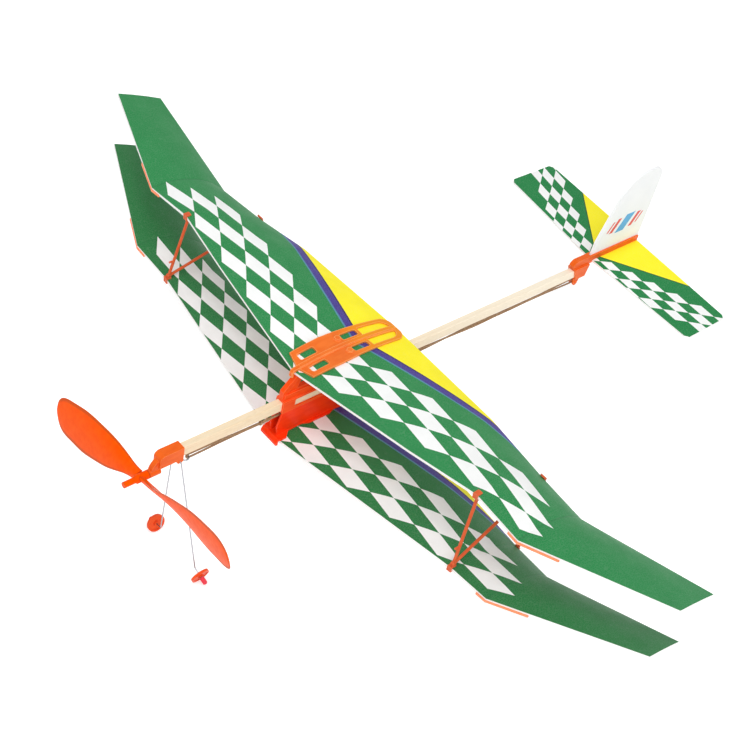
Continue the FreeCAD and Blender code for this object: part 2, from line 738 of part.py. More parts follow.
def rubber_motor():
    """A flat band laid double: round the hook, along the stick and round the rear peg."""
    body = new_body("rubber_motor")
    thick, half_width = z.strip_thick, z.strip_width / 2
    inside = z.hook_radius - z.shaft_radius
    front_eye = derived("front_eye", z.hook_radius - (inside * inside - half_width * half_width).root() + z.fit_gap)
    rear_eye = derived("rear_eye", z.peg_radius + z.fit_gap)
    front_turn, rear_turn = front_eye + thick, rear_eye + thick
    front_join, rear_join = loop_rear + z.strip_join, peg_y - z.rear_join
    outline = [(front_join, -thick), (rear_join, -thick), *round_end(peg_y, rear_turn, 1),
               (rear_join, thick), (front_join, thick), *round_end(loop_rear, front_turn, -1)]
    front_gap = [(front_join, 0), *round_end(loop_rear, front_eye, -1)]
    rear_gap = [(rear_join, 0), *round_end(peg_y, rear_eye, 1)]
    slab(body, "band", "YZ_Plane", [outline, front_gap, rear_gap], z.strip_width)
    knot, half = loop_rear + z.knot_aft, z.knot_length / 2
    lump = [(knot - half, -thick), (knot - half / 2, -z.knot_radius), (knot + half / 2, -z.knot_radius),
            (knot + half, -thick), (knot + half, thick), (knot + half / 2, z.knot_radius),
            (knot - half / 2, z.knot_radius), (knot - half, thick)]
    slab(body, "knot", "YZ_Plane", [lump], 2 * z.knot_radius)
    prism(body, "knot_tail", "XY_Plane", [box(-half_width, knot - thick / 2, half_width, knot + thick / 2)],
          0.5, z.knot_tail)
    return body


# ---------------------------------------------------------------- landing gear

axle_cos, axle_sin = derived("axle_cos", z.axle_droop.cosine()), derived("axle_sin", z.axle_droop.sine())
wire_corner = derived("wire_corner", block_width / 2 + 0.8)
axle_end = derived("axle_end", z.wheel_hub_width / 2 + z.running_gap + z.retainer_length - 1)


def landing_gear_wire():
    """One wire: across through the lug, down each leg and out along each axle."""
    body = new_body("landing_gear_wire")
    place(body, "Placement", (0, lug_hole_y, lug_hole_z), [((1, 0, 0), z.gear_rake)])
    wheel_at = (z.gear_half_track, -z.gear_drop)
    knee = (wheel_at[0] - axle_cos * z.axle_inner, wheel_at[1] + axle_sin * z.axle_inner)
    end = (wheel_at[0] + axle_cos * axle_end, wheel_at[1] - axle_sin * axle_end)
    leg = wire(body, "leg", "XZ_Plane", rounded([(0, 0), (wire_corner, 0), knee, end], z.gear_bend),
               z.gear_wire_radius)
    mirror(body, "other_leg", leg)
    return body


def on_axle(body, side, along=0):
    """Stand a turned piece on the axle, its own X axis along the wire."""
    out = z.gear_half_track + axle_cos * along
    down = z.gear_drop + axle_sin * along
    rake_cos, rake_sin = z.gear_rake.cosine(), z.gear_rake.sine()
    place(body, "Placement", (side * out, lug_hole_y + down * rake_sin, lug_hole_z - down * rake_cos),
          [((1, 0, 0), z.gear_rake), ((0, 1, 0), side * z.axle_droop)])


def wheel(name, side):
    body = new_body(name)
    on_axle(body, side)
    bore = z.gear_wire_radius + z.fit_gap
    hub, rim, web = z.wheel_hub_width / 2, z.wheel_width / 2, z.wheel_web / 2
    r, inner = z.wheel_radius, z.wheel_radius - z.wheel_rim
    half = [(hub, bore), (hub, z.wheel_hub_radius), (web, z.wheel_hub_radius), (web, inner), (rim, inner), (rim, r)]
    outline = half + [(-u, v) for u, v in reversed(half)]
    turned(body, "disc", "XY_Plane", outline, "X_Axis")
    return body


def wheel_retainer(name, side):
    body = new_body(name)
    on_axle(body, side, z.wheel_hub_width / 2 + z.running_gap)
    bore, r = z.gear_wire_radius + z.fit_gap, z.retainer_radius
    deep, length = side * (z.retainer_length - 1), side * z.retainer_length
    outline = [(0, bore), (0, r), (length - side * 0.5, r), (length, r - 0.5), (length, 0), (deep, 0), (deep, bore)]
    turned(body, "cap", "XY_Plane", outline if side < 0 else outline[::-1], "X_Axis")
    return body


# ---------------------------------------------------------------- wings

class Station:
    """One section of a foam wing: the arc through the middle of the sheet, and its two edges."""

    def __init__(self, wing, name):
        label = "%s_%s" % (wing, name)
        self.x = size(0) if name == "root" else getattr(z, label + "_x")
        self.front = (getattr(z, label + "_le_y"), getattr(z, label + "_le_z"))
        self.rear = (getattr(z, label + "_te_y"), getattr(z, label + "_te_z"))
        sag = getattr(z, label + "_sag")
        dy, dz = self.rear[0] - self.front[0], self.rear[1] - self.front[1]
        chord = derived(label + "_chord", (dy * dy + dz * dz).root())
        self.radius = derived(label + "_radius", (chord * chord / 4 + sag * sag) / (2 * sag))
        slope = derived(label + "_slope", (sag - self.radius) / chord)
        self.centre = (derived(label + "_centre_y", (self.front[0] + self.rear[0]) / 2 - dz * slope),
                       derived(label + "_centre_z", (self.front[1] + self.rear[1]) / 2 + dy * slope))

    def corner(self, edge, offset):
        """The point at an edge, offset square to the sheet from its middle."""
        share = size(offset) / self.radius
        return tuple(edge[i] + (edge[i] - self.centre[i]) * share for i in (0, 1))

    def band(self, inner, outer):
        """The closed outline between two offsets from the middle of the sheet."""
        return [self.corner(self.front, inner), (*self.corner(self.front, outer), self.radius + outer, -1),
                self.corner(self.rear, outer), (*self.corner(self.rear, inner), self.radius + inner, 1)]

    def height(self, y, offset):
        """The height of the offset arc at one place along the chord."""
        reach = self.radius + offset
        along = y - self.centre[0]
        return self.centre[1] + (reach * reach - along * along).root()


STATION_NAMES = ("root", "bend", "strut", "kink", "tip")
UPPER = {name: Station("upper", name) for name in STATION_NAMES}
LOWER = {name: Station("lower", name) for name in STATION_NAMES}
half_foam = z.foam / 2
under = derived("seat_under", -(half_foam + z.foam_gap + z.plate))
over = derived("seat_over", half_foam + z.foam_gap + z.plate)


def band_loft(body, name, stations, inner, outer):
    """A curved sheet that follows the wing from the root outwards, on both sides."""
    sketches = []
    for index, station in enumerate(stations):
        sketch = new_sketch(body, "%s_%d" % (name, index), "YZ_Plane", lift=station.x)
        draw(sketch, station.band(inner, outer))
        sketches.append(sketch)
    return mirror(body, name + "_pair", [loft(body, name, sketches)])


def wing(name, stations, holes):
    body = new_body(name)
    band_loft(body, "foam", [stations[word] for word in STATION_NAMES], -half_foam, half_foam)
    root, at = stations["root"], holes[0][1]
    prism(body, "stud_holes", "XY_Plane", [], root.height(at, -z.foam), root.height(at, z.foam), cut=True,
          circles=holes)
    return body


def cut_through(body, name, root, outlines, circles=()):
    """Cut outlines in plan right through a sheet that follows the foam at the root."""
    middle = root.front[1]
    return prism(body, name, "XY_Plane", outlines, middle - z.cut_reach, middle + z.cut_reach, cut=True,
                 circles=circles)


def trim(body, name, stations, outline):
    """Cut away everything outside an outline in plan."""
    root, side = stations["root"], stations["bend"].x + z.cut_reach
    frame = box(-side, root.front[0] - z.cut_reach, side, root.rear[0] + z.cut_reach)
    return cut_through(body, name, root, [frame, outline])


upper_y = UPPER["root"].front[0]
lower_y = LOWER["root"].front[0]
stud_y = derived("stud_y", upper_y + z.stud_aft)
pin_stud_y = derived("pin_stud_y", lower_y + z.pin_stud_aft)
upper_stud_holes = [(side * z.stud_x, stud_y, z.stud_radius + z.fit_gap) for side in (1, -1)]
lower_stud_holes = [(side * z.pin_stud_x, pin_stud_y, z.pin_stud_radius + z.fit_gap) for side in (1, -1)]


def upper_wing_saddle():
    body = new_body("upper_wing_saddle")
    band_loft(body, "plate", [UPPER["root"], UPPER["bend"]], half_foam + z.foam_gap, over)
    front = upper_y + z.saddle_front
    rear = front + z.saddle_length
    side, corner = z.saddle_rear_half, z.saddle_round
    outline = [(0, front), (z.saddle_front_half, front + z.saddle_sweep), (z.saddle_mid_half, front + 21),
               (side, rear - corner, corner * 1.1, 1), (side - corner * 0.9, rear),
               (-(side - corner * 0.9), rear, corner * 1.1, 1), (-side, rear - corner),
               (-z.saddle_mid_half, front + 21), (-z.saddle_front_half, front + z.saddle_sweep)]
    trim(body, "outline", UPPER, outline)
    window = rear - 3 - z.saddle_window
    slots = [slot(3, front + 4.5, 7.2, front + 15, 1), slot(3, front + 32.5, 7, window - 2, 1),
             [(1.8, window), (7.3, window), (6.9, rear - 3 - corner, corner * 1.1, 1), (6.9 - corner * 0.8, rear - 3),
              (1.8, rear - 3)]]
    root = UPPER["root"]
    cut_through(body, "slots", root, slots + [mirrored(item) for item in slots])
    rib_low, rib_high = half_foam + z.foam_gap + z.plate / 2, over + z.saddle_rib_height
    y0, y1 = front + 1.2, rear - 1.5
    slab(body, "rib", "YZ_Plane",
         [[(y0, root.height(y0, rib_low)), (y0, root.height(y0, rib_high), root.radius + rib_high, -1),
           (y1, root.height(y1, rib_high)), (y1, root.height(y1, rib_low), root.radius + rib_low, 1)]],
         z.saddle_rib)
    edge, gap = root.front, z.foam_gap + z.foam / 2
    strap = [(edge[0] - gap - z.plate, edge[1] - z.foam), (edge[0] - gap, edge[1] - z.foam),
             (edge[0] - gap, edge[1] + gap), (y0 + 2, root.height(y0 + 2, rib_low)),
             (y0 + 2, root.height(y0 + 2, rib_high)), (edge[0] - gap, edge[1] + gap + z.plate + 0.4),
             (edge[0] - gap - z.plate, edge[1] + gap)]
    slab(body, "strap", "YZ_Plane", [strap], z.saddle_rib)
    foot = root.height(stud_y, under) - 0.4
    head = root.height(stud_y, over)
    prism(body, "studs", "XY_Plane", [], foot, head + 0.9,
          circles=[(side * z.stud_x, stud_y, z.stud_radius) for side in (1, -1)])
    prism(body, "stud_heads", "XY_Plane", [], head - 0.2, head + 1.3,
          circles=[(side * z.stud_x, stud_y, z.stud_head) for side in (1, -1)])
    return body


clip_rear = derived("clip_rear", z.clip_front + z.clip_length)
clip_outer = derived("clip_outer", z.stick_width + 2 * (z.fit_gap + z.clip_wall))
clip_top = derived("clip_top", stick_top + z.fit_gap + z.clip_floor)
clip_bottom = derived("clip_bottom", z.stick_bottom - z.fit_gap - z.clip_lip)
rail_top = derived("rail_top", clip_top + z.rail_height)


def cabane():
    """The pylon: a clip on the stick, a windowed web with a front post, and the seat under the foam."""
    body = new_body("cabane")
    band_loft(body, "seat", [UPPER["root"], UPPER["bend"]], under, -(half_foam + z.foam_gap))
    front = upper_y + z.seat_setback
    rear, tail = front + z.seat_length, z.seat_tail_half
    outline = [(-z.seat_half, front + 2), (-1.5, front), (1.5, front), (z.seat_half, front + 2),
               (z.seat_half, front + z.seat_straight), (tail, rear), (-tail, rear),
               (-z.seat_half, front + z.seat_straight)]
    trim(body, "seat_outline", UPPER, outline)
    root = UPPER["root"]
    cut_through(body, "stud_holes", root, [], upper_stud_holes)
    level = under + z.plate / 2
    y0, y1 = front + 1, rear - 2.5
    top_front, top_rear = (y0, root.height(y0, level), root.radius + level, -1), (y1, root.height(y1, level))
    slab(body, "web", "YZ_Plane",
         [[(z.clip_front, clip_top - 0.3), top_front_foot(), top_front, top_rear, (clip_rear - 1, clip_top - 0.3)]],
         z.web)
    slab(body, "post", "YZ_Plane",
         [[(z.clip_front, clip_top - 0.3), top_front_foot(), (y0, root.height(y0, level)),
           (y0 + z.post_depth, root.height(y0 + z.post_depth, level)),
           (z.clip_front + z.post_depth, rail_top), (z.clip_front + z.post_depth, clip_top - 0.3)]], z.post_width)
    slab(body, "rail", "YZ_Plane",
         [[(z.clip_front + 1, clip_top - 0.3), (clip_rear, clip_top - 0.3), (clip_rear, clip_top + 0.8),
           (clip_rear - 8, rail_top, size(4), 1), (clip_rear - 11, rail_top), (z.clip_front + 1, rail_top)]],
         z.rail_width)
    slab(body, "clip", "YZ_Plane", [box(z.clip_front, clip_bottom, clip_rear, clip_top)], clip_outer)
    prism(body, "stick_channel", "XZ_Plane",
          [centred(z.stick_width + 2 * z.fit_gap, z.stick_bottom - z.fit_gap, stick_top + z.fit_gap)],
          z.clip_front - 1, clip_rear + 1, cut=True)
    prism(body, "lip_gap", "XZ_Plane",
          [centred(z.stick_width * 0.6, clip_bottom - 1, z.stick_bottom)], z.clip_front - 1, clip_rear + 1, cut=True)
    low = z.stick_bottom + (z.stick_height - z.clip_window) / 2
    slab(body, "clip_window", "YZ_Plane",
         [slot(z.clip_front + z.clip_front_jaw, low, clip_rear - z.clip_rear_jaw, low + z.clip_window, 1)],
         clip_outer + 2, cut=True)
    sill, lintel = rail_top + 0.6, level - z.web_lintel
    y2, y3 = y0 + z.post_depth, y0 + z.post_depth + z.web_window
    slab(body, "web_window", "YZ_Plane",
         [[(y2 - 2, sill), (y3 - 13, sill), (y3, root.height(y3, lintel), root.radius + lintel, 1),
           (y2 + 1, root.height(y2 + 1, lintel))]], z.web + 0.6, cut=True)
    return body


def top_front_foot():
    """Where the front edge of the post breaks from slanting to upright."""
    return z.clip_front, rail_top + 2


holder_rear = derived("holder_rear", lower_y + z.holder_length)


def lower_wing_holder():
    """Two webs either side of the rubber, on a shaped plate that seats on the lower foam."""
    body = new_body("lower_wing_holder")
    band_loft(body, "plate", [LOWER["root"], LOWER["bend"]], half_foam + z.foam_gap, over)
    y0 = lower_y + 0.4
    nose, waist, wide = z.holder_nose_half, z.holder_waist_half, z.holder_wide_half
    half = [(nose, y0), (nose, y0 + 4), (waist, y0 + 8), (waist, y0 + 17), (wide, y0 + 21), (wide, y0 + 35),
            (waist, y0 + 39), (waist, holder_rear)]
    trim(body, "outline", LOWER, half + [(-u, v) for u, v in reversed(half)])
    root = LOWER["root"]
    level = over - z.plate / 2
    y1, y2 = lower_y + 1.2, holder_rear - 1.5
    web = [(y1, root.height(y1, level), root.radius + level, -1), (y2, root.height(y2, level)),
           (y2, root.height(y2, level) + 3, size(14), -1), (clip_rear - 5, clip_bottom),
           (z.clip_front + 0.5, clip_bottom), (y1 - 1, root.height(y1, level) + 7)]
    inner, outer = z.stick_width / 2 + z.fit_gap, clip_outer / 2
    prism(body, "web_port", "YZ_Plane", [web], inner, outer)
    prism(body, "web_starboard", "YZ_Plane", [web], -outer, -inner)
    edge = root.front
    lip = [(edge[0] - 0.4, edge[1] - 1.4), (edge[0] - 0.4, edge[1] + half_foam + 0.6),
           (edge[0] + 2.2, root.height(edge[0] + 2.2, level)), (edge[0] + 2.2, root.height(edge[0] + 2.2, over)),
           (edge[0] - 0.6, edge[1] + half_foam + 1.9), (edge[0] - z.nose_lip, edge[1] + 0.6),
           (edge[0] - z.nose_lip, edge[1] - 1.0)]
    slab(body, "nose", "YZ_Plane", [lip[::-1]], 2 * nose - 1)
    cut_through(body, "pin_holes", root, [], lower_stud_holes)
    return body


def lower_wing_keel():
    """The plate under the lower foam, with the studs that go up through it."""
    body = new_body("lower_wing_keel")
    band_loft(body, "plate", [LOWER["root"], LOWER["bend"]], under, -(half_foam + z.foam_gap))
    half, y0, y1 = z.keel_half, lower_y + 5, lower_y + z.holder_length
    outline = [(half - 1.5, y0), (half + 1, y0 + 3), (half + 1, y1 - 8), (half - 2, y1)]
    trim(body, "outline", LOWER, outline + [(-u, v) for u, v in reversed(outline)])
    root = LOWER["root"]
    y2, y3, level = y0 + 2, y1 - 2, under + z.plate / 2
    slab(body, "rib", "YZ_Plane",
         [[(y2, root.height(y2, level), root.radius + level, -1), (y3, root.height(y3, level)),
           (y3 - 4, root.height(y3, under) - 1.6, root.radius + under, 1),
           (y2 + 4, root.height(y2, under) - 1.6)]], z.keel_rib)
    low, high = root.height(pin_stud_y, level), root.height(pin_stud_y, over) + 1.0
    prism(body, "studs", "XY_Plane", [], low, high,
          circles=[(side * z.pin_stud_x, pin_stud_y, z.pin_stud_radius) for side in (1, -1)])
    return body


# ---------------------------------------------------------------- struts and braces

class Edge:
    """The foam's edge at one place across the span, with the ways into and square to the sheet."""

    def __init__(self, stations, x, leading):
        inner, outer, share = around(stations, x)
        low = blend(edge_corner(inner, leading, -half_foam), edge_corner(outer, leading, -half_foam), share)
        high = blend(edge_corner(inner, leading, half_foam), edge_corner(outer, leading, half_foam), share)
        self.low = low
        self.up = ((high[0] - low[0]) / z.foam, (high[1] - low[1]) / z.foam)
        way = 1 if leading else -1
        self.into = (self.up[1] * way, -self.up[0] * way)
        self.fall = 1 / (2 * inner.radius)

    def at(self, along, up):
        """A point along the sheet from its edge and up from its lower face, which curves away."""
        along = size(along)
        up = size(up) - along * along * self.fall
        return (self.low[0] + self.into[0] * along + self.up[0] * up,
                self.low[1] + self.into[1] * along + self.up[1] * up)


def edge_corner(station, leading, offset):
    return station.corner(station.front if leading else station.rear, offset)


def around(stations, x):
    """The two stations that lie either side of x, and how far x is from the first to the second."""
    names = [name for name in STATION_NAMES if stations[name].x.value <= x.value + 1e-6]
    first = STATION_NAMES[min(len(names), len(STATION_NAMES) - 1) - 1]
    second = STATION_NAMES[STATION_NAMES.index(first) + 1]
    share = (x - stations[first].x) / (stations[second].x - stations[first].x)
    return stations[first], stations[second], share


def blend(start, end, share):
    return tuple(a + (b - a) * share for a, b in zip(start, end))


def angle_outline(edge, reach, wall, height):
    """An L in front of the foam's edge and below it."""
    gap, out = z.foam_gap, -(z.foam_gap + wall)
    return [edge.at(out, out), edge.at(reach, out), edge.at(reach, -gap), edge.at(-gap, -gap),
            edge.at(-gap, height), edge.at(out, height)]


def clip_outline(edge, reach, wall):
    """A C that wraps the foam's edge."""
    top = z.foam + z.foam_gap
    lower = angle_outline(edge, reach, wall, top)
    return lower[:5] + [edge.at(reach, top), edge.at(reach, top + wall), edge.at(-(z.foam_gap + wall), top + wall)]


def edge_strip(body, name, stations, places, side, leading, outline, *sizes):
    """A moulding along the foam's edge, lofted through the given places across the span."""
    sketches = []
    for index, x in enumerate(places):
        sketch = new_sketch(body, "%s_%d" % (name, index), "YZ_Plane", lift=side * x)
        draw(sketch, outline(Edge(stations, x, leading), *sizes))
        sketches.append(sketch)
    return loft(body, name, sketches)


def interplane_strut(name, side):
    """An N of rods between the wings, with a clip on each foam edge that it meets."""
    body = new_body(name)
    foot = {}
    for wing_name, stations in (("upper", UPPER), ("lower", LOWER)):
        x = stations["strut"].x
        for leading in (True, False):
            places = [x - z.edge_clip_half, x, x + z.edge_clip_half]
            label = "%s_%s" % (wing_name, "front" if leading else "rear")
            reach = z.edge_clip_reach if leading else z.edge_clip_rear_reach
            edge_strip(body, label, stations, places, side, leading, clip_outline, reach, z.edge_clip_wall)
            foot[label] = (side * x, Edge(stations, x, leading))
    clear = z.foam_gap + z.edge_clip_wall / 2 + z.strut_knuckle

    def seat(label, above):
        x, edge = foot[label]
        return (x, *edge.at(1.4, z.foam + clear if above else -clear))

    top_front, top_rear, low_front = seat("upper_front", False), seat("upper_rear", False), seat("lower_front", True)
    x, edge = foot["lower_rear"]
    y, up = edge.at(0, z.foam)
    low_rear = (x, y + z.strut_radius + z.foam_gap * 2, up - 5.0)
    rod(body, "front_leg", low_front, top_front, z.strut_radius)
    rod(body, "diagonal", low_front, top_rear, z.strut_radius)
    rod(body, "rear_leg", low_rear, top_rear, z.strut_radius)
    for label, point in (("top_front", top_front), ("top_rear", top_rear), ("low_front", low_front)):
        prism(body, label + "_knuckle", "YZ_Plane", [], point[0] - z.strut_knuckle, point[0] + z.strut_knuckle,
              circles=[(point[1], point[2], z.strut_knuckle)])
    ball(body, "lower_ball", low_rear, z.strut_ball)
    x, edge = foot["upper_rear"]
    low, high = [edge.at(z.strut_dot, z.foam + z.foam_gap + z.edge_clip_wall * share) for share in (0.4, 1.8)]
    rod(body, "upper_dot", (x, *low), (x, *high), z.strut_dot)
    share = 0.27
    peg = tuple(a + (b - a) * share for a, b in zip(low_front, top_front))
    prism(body, "peg", "XZ_Plane", [], peg[1] - z.strut_peg, peg[1], circles=[(peg[0], peg[2], z.strut_radius * 0.7)])
    return body


def tip_brace(name, stations, side):
    """A thin stiffener round the bend in the leading edge, outboard of the struts."""
    body = new_body(name)
    kink = stations["kink"].x
    places = [kink - z.brace_inner, kink, kink + z.brace_outer]
    edge_strip(body, "strip", stations, places, side, True, angle_outline, z.brace_reach, z.brace_wall,
               z.brace_height)
    return body


pieces = [
    fuselage_stick(), nose_bearing(), propeller(), prop_shaft(), tail_mount(), horizontal_stabilizer(),
    vertical_fin(), rubber_motor(), landing_gear_wire(),
    wheel("wheel_port", 1), wheel("wheel_starboard", -1),
    wheel_retainer("wheel_retainer_port", 1), wheel_retainer("wheel_retainer_starboard", -1),
    wing("upper_wing", UPPER, upper_stud_holes), wing("lower_wing", LOWER, lower_stud_holes),
    upper_wing_saddle(), cabane(), lower_wing_holder(), lower_wing_keel(),
    interplane_strut("interplane_strut_port", 1), interplane_strut("interplane_strut_starboard", -1),
    tip_brace("tip_brace_upper_port", UPPER, 1), tip_brace("tip_brace_upper_starboard", UPPER, -1),
    tip_brace("tip_brace_lower_port", LOWER, 1), tip_brace("tip_brace_lower_starboard", LOWER, -1),
]
doc.recompute()

for item in doc.Objects:
    if "Invalid" in item.State or "Error" in item.State:
        raise RuntimeError("%s did not build: %s" % (item.Name, item.State))
    if item.TypeId in ("PartDesign::Pocket", "PartDesign::Groove"):
        if item.Shape.Volume > item.BaseFeature.Shape.Volume - 1e-4:
            raise RuntimeError("%s cuts nothing" % item.Name)
for piece in pieces:
    if piece.Shape.isNull() or not piece.Shape.isValid():
        raise RuntimeError("%s has no valid shape" % piece.Label)

os.makedirs("parts", exist_ok=True)
for piece in pieces:
    piece.Shape.exportStep("parts/%s.step" % piece.Label)
    print("%-30s %10.2f mm3" % (piece.Label, piece.Shape.Volume))
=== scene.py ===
"""Dresses a small rubber-powered toy biplane in printed foam, plastic, birch, wire and rubber."""
import logging
import math
from dataclasses import astuple, dataclass, field
from enum import Enum

import bmesh
import bpy
from mathutils import Matrix, Vector


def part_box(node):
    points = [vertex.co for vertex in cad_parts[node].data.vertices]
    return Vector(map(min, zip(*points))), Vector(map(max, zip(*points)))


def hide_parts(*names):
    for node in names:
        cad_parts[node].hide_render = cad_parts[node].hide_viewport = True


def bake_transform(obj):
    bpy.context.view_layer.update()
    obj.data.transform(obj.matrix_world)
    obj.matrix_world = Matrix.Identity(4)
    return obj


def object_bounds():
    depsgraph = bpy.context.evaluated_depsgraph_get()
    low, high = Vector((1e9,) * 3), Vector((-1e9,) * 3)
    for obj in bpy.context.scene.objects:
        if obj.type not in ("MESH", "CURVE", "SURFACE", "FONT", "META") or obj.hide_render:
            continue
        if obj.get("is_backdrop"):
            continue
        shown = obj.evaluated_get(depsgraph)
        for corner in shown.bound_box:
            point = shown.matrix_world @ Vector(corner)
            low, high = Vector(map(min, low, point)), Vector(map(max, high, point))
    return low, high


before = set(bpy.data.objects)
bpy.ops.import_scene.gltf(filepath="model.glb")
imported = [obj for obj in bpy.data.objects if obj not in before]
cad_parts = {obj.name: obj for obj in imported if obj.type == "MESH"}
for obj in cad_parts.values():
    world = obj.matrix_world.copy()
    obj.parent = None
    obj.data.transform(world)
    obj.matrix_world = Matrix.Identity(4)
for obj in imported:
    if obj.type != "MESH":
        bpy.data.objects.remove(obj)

log = logging.getLogger("plane")
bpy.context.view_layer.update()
MM = 0.001
Triple = tuple[float, float, float]
Colour = Triple
WHITE = (1.0, 1.0, 1.0, 1.0)


def tone(red: int, green: int, blue: int) -> Colour:
    """Returns the linear colour of a screen colour, so that a finish renders as it is written.

    Args:
        red, green, blue: the colour as seen, from 0 to 255.

    Returns:
        The same colour as the shaders need it.
    """
    def linear(value: int) -> float:
        """Undoes the screen's curve for one channel."""
        share = value / 255
        return share / 12.92 if share <= 0.04045 else ((share + 0.055) / 1.055) ** 2.4
    return linear(red), linear(green), linear(blue)


# ---------------------------------------------------------------- node trees written as arithmetic

@dataclass(frozen=True)
class Term:
    """A number or vector that a node tree works out, with the usual signs for its sums."""

    graph: "Graph"
    socket: bpy.types.NodeSocket

    def __add__(self, other: "Term | float") -> "Term":
        """Adds."""
        return self.graph.maths("ADD", self, other)

    def __sub__(self, other: "Term | float") -> "Term":
        """Takes away."""
        return self.graph.maths("SUBTRACT", self, other)

    def __rsub__(self, other: float) -> "Term":
        """Takes this from a plain number."""
        return self.graph.maths("SUBTRACT", other, self)

    def __mul__(self, other: "Term | float") -> "Term":
        """Multiplies."""
        return self.graph.maths("MULTIPLY", self, other)

    def __truediv__(self, other: "Term | float") -> "Term":
        """Divides."""
        return self.graph.maths("DIVIDE", self, other)

    def above(self, other: "Term | float") -> "Term":
        """Is 1 where this is more than the other, else 0."""
        return self.graph.maths("GREATER_THAN", self, other)

    def below(self, other: "Term | float") -> "Term":
        """Is 1 where this is less than the other, else 0."""
        return self.graph.maths("LESS_THAN", self, other)

    def floor(self) -> "Term":
        """Rounds down."""
        return self.graph.maths("FLOOR", self)

    def size(self) -> "Term":
        """Drops the sign."""
        return self.graph.maths("ABSOLUTE", self)

    def sine(self) -> "Term":
        """Gives the sine of an angle in radians."""
        return self.graph.maths("SINE", self)

    def cosine(self) -> "Term":
        """Gives the cosine of an angle in radians."""
        return self.graph.maths("COSINE", self)

    def modulo(self, other: float) -> "Term":
        """Gives what is left after whole steps of other, never negative."""
        return self.graph.maths("FLOORED_MODULO", self, other)

    def ramp(self, low: float, high: float) -> "Term":
        """Rises smoothly from 0 at low to 1 at high."""
        share = self.graph.maths("DIVIDE", self - low, high - low, clamp=True)
        return share * share * (3.0 - share * 2.0)

    def limited(self) -> "Term":
        """Holds this between 0 and 1."""
        return self.graph.maths("ADD", self, 0.0, clamp=True)


class Graph:
    """Lays nodes into a tree and joins them."""

    def __init__(self, tree: bpy.types.NodeTree) -> None:
        """Takes the tree that the nodes go into."""
        self.tree = tree

    def node(self, kind: str, settings: dict[str, object] | None = None,
             **inputs: object) -> bpy.types.Node:
        """Adds one node.

        Args:
            kind: the node's type in Blender.
            settings: attributes of the node itself.
            inputs: values or terms by socket name, with _ for a space.

        Returns:
            The new node.
        """
        made = self.tree.nodes.new(kind)
        for name, value in (settings or {}).items():
            setattr(made, name, value)
        self.fill(made, inputs)
        return made

    def fill(self, node: bpy.types.Node, inputs: dict[str, object]) -> None:
        """Feeds a node's inputs by name, with _ for a space."""
        for name, value in inputs.items():
            self.feed(node.inputs[name.replace("_", " ")], value)

    def feed(self, socket: bpy.types.NodeSocket, value: object) -> None:
        """Gives a socket its value.

        Args:
            socket: the input that takes the value.
            value: a term, which is linked, or a plain value, which is set.
        """
        if isinstance(value, Term):
            self.tree.links.new(value.socket, socket)
        elif isinstance(value, tuple) and len(value) == 3 and socket.type == "RGBA":
            socket.default_value = (*value, 1.0)
        else:
            socket.default_value = value

    def term(self, node: bpy.types.Node, output: int | str = 0) -> Term:
        """Gives one output of a node as a term."""
        return Term(self, node.outputs[output])

    def maths(self, operation: str, *values: Term | float, clamp: bool = False) -> Term:
        """Adds a Math node.

        Args:
            operation: Blender's name for what it works out.
            values: the node's inputs, in order.
            clamp: whether the result is held between 0 and 1.

        Returns:
            The result.
        """
        made = self.node("ShaderNodeMath", {"operation": operation, "use_clamp": clamp})
        for socket, value in zip(made.inputs, values):
            self.feed(socket, value)
        return self.term(made)

    def across(self, operation: str, first: Term, second: Term | Triple,
               output: int | str = 0) -> Term:
        """Adds a Vector Math node.

        Args:
            operation: Blender's name for what it works out.
            first, second: the two vectors.
            output: which result is wanted.

        Returns:
            The result.
        """
        made = self.node("ShaderNodeVectorMath", {"operation": operation})
        self.feed(made.inputs[0], first)
        self.feed(made.inputs[1], second)
        return self.term(made, output)

    def scaled(self, vector: Term, scale: Triple) -> Term:
        """Multiplies a vector by three numbers."""
        return self.across("MULTIPLY", vector, scale)

    def mix(self, share: Term | float, first: Term | Colour, second: Term | Colour) -> Term:
        """Blends two colours.

        Args:
            share: 0 for the first, 1 for the second.
            first, second: the two colours.

        Returns:
            The blend.
        """
        made = self.node("ShaderNodeMix", {"data_type": "RGBA"})
        one, two = (socket for socket in made.inputs if socket.type == "RGBA")
        for socket, value in ((made.inputs[0], share), (one, first), (two, second)):
            self.feed(socket, value)
        return Term(self, next(socket for socket in made.outputs if socket.type == "RGBA"))

    def noise(self, where: Term, scale: Term | float, detail: float = 3.0,
              rough: float = 0.5) -> Term:
        """Gives cloudy noise between about 0 and 1."""
        return self.term(self.node("ShaderNodeTexNoise", Vector=where, Scale=scale,
                                   Detail=detail, Roughness=rough))

    def parts(self, vector: Term) -> tuple[Term, Term, Term]:
        """Splits a vector into its three numbers."""
        made = self.node("ShaderNodeSeparateXYZ", Vector=vector)
        return self.term(made, 0), self.term(made, 1), self.term(made, 2)

    def join(self, x: Term | float, y: Term | float, z: Term | float) -> Term:
        """Makes a vector of three numbers."""
        return self.term(self.node("ShaderNodeCombineXYZ", X=x, Y=y, Z=z))


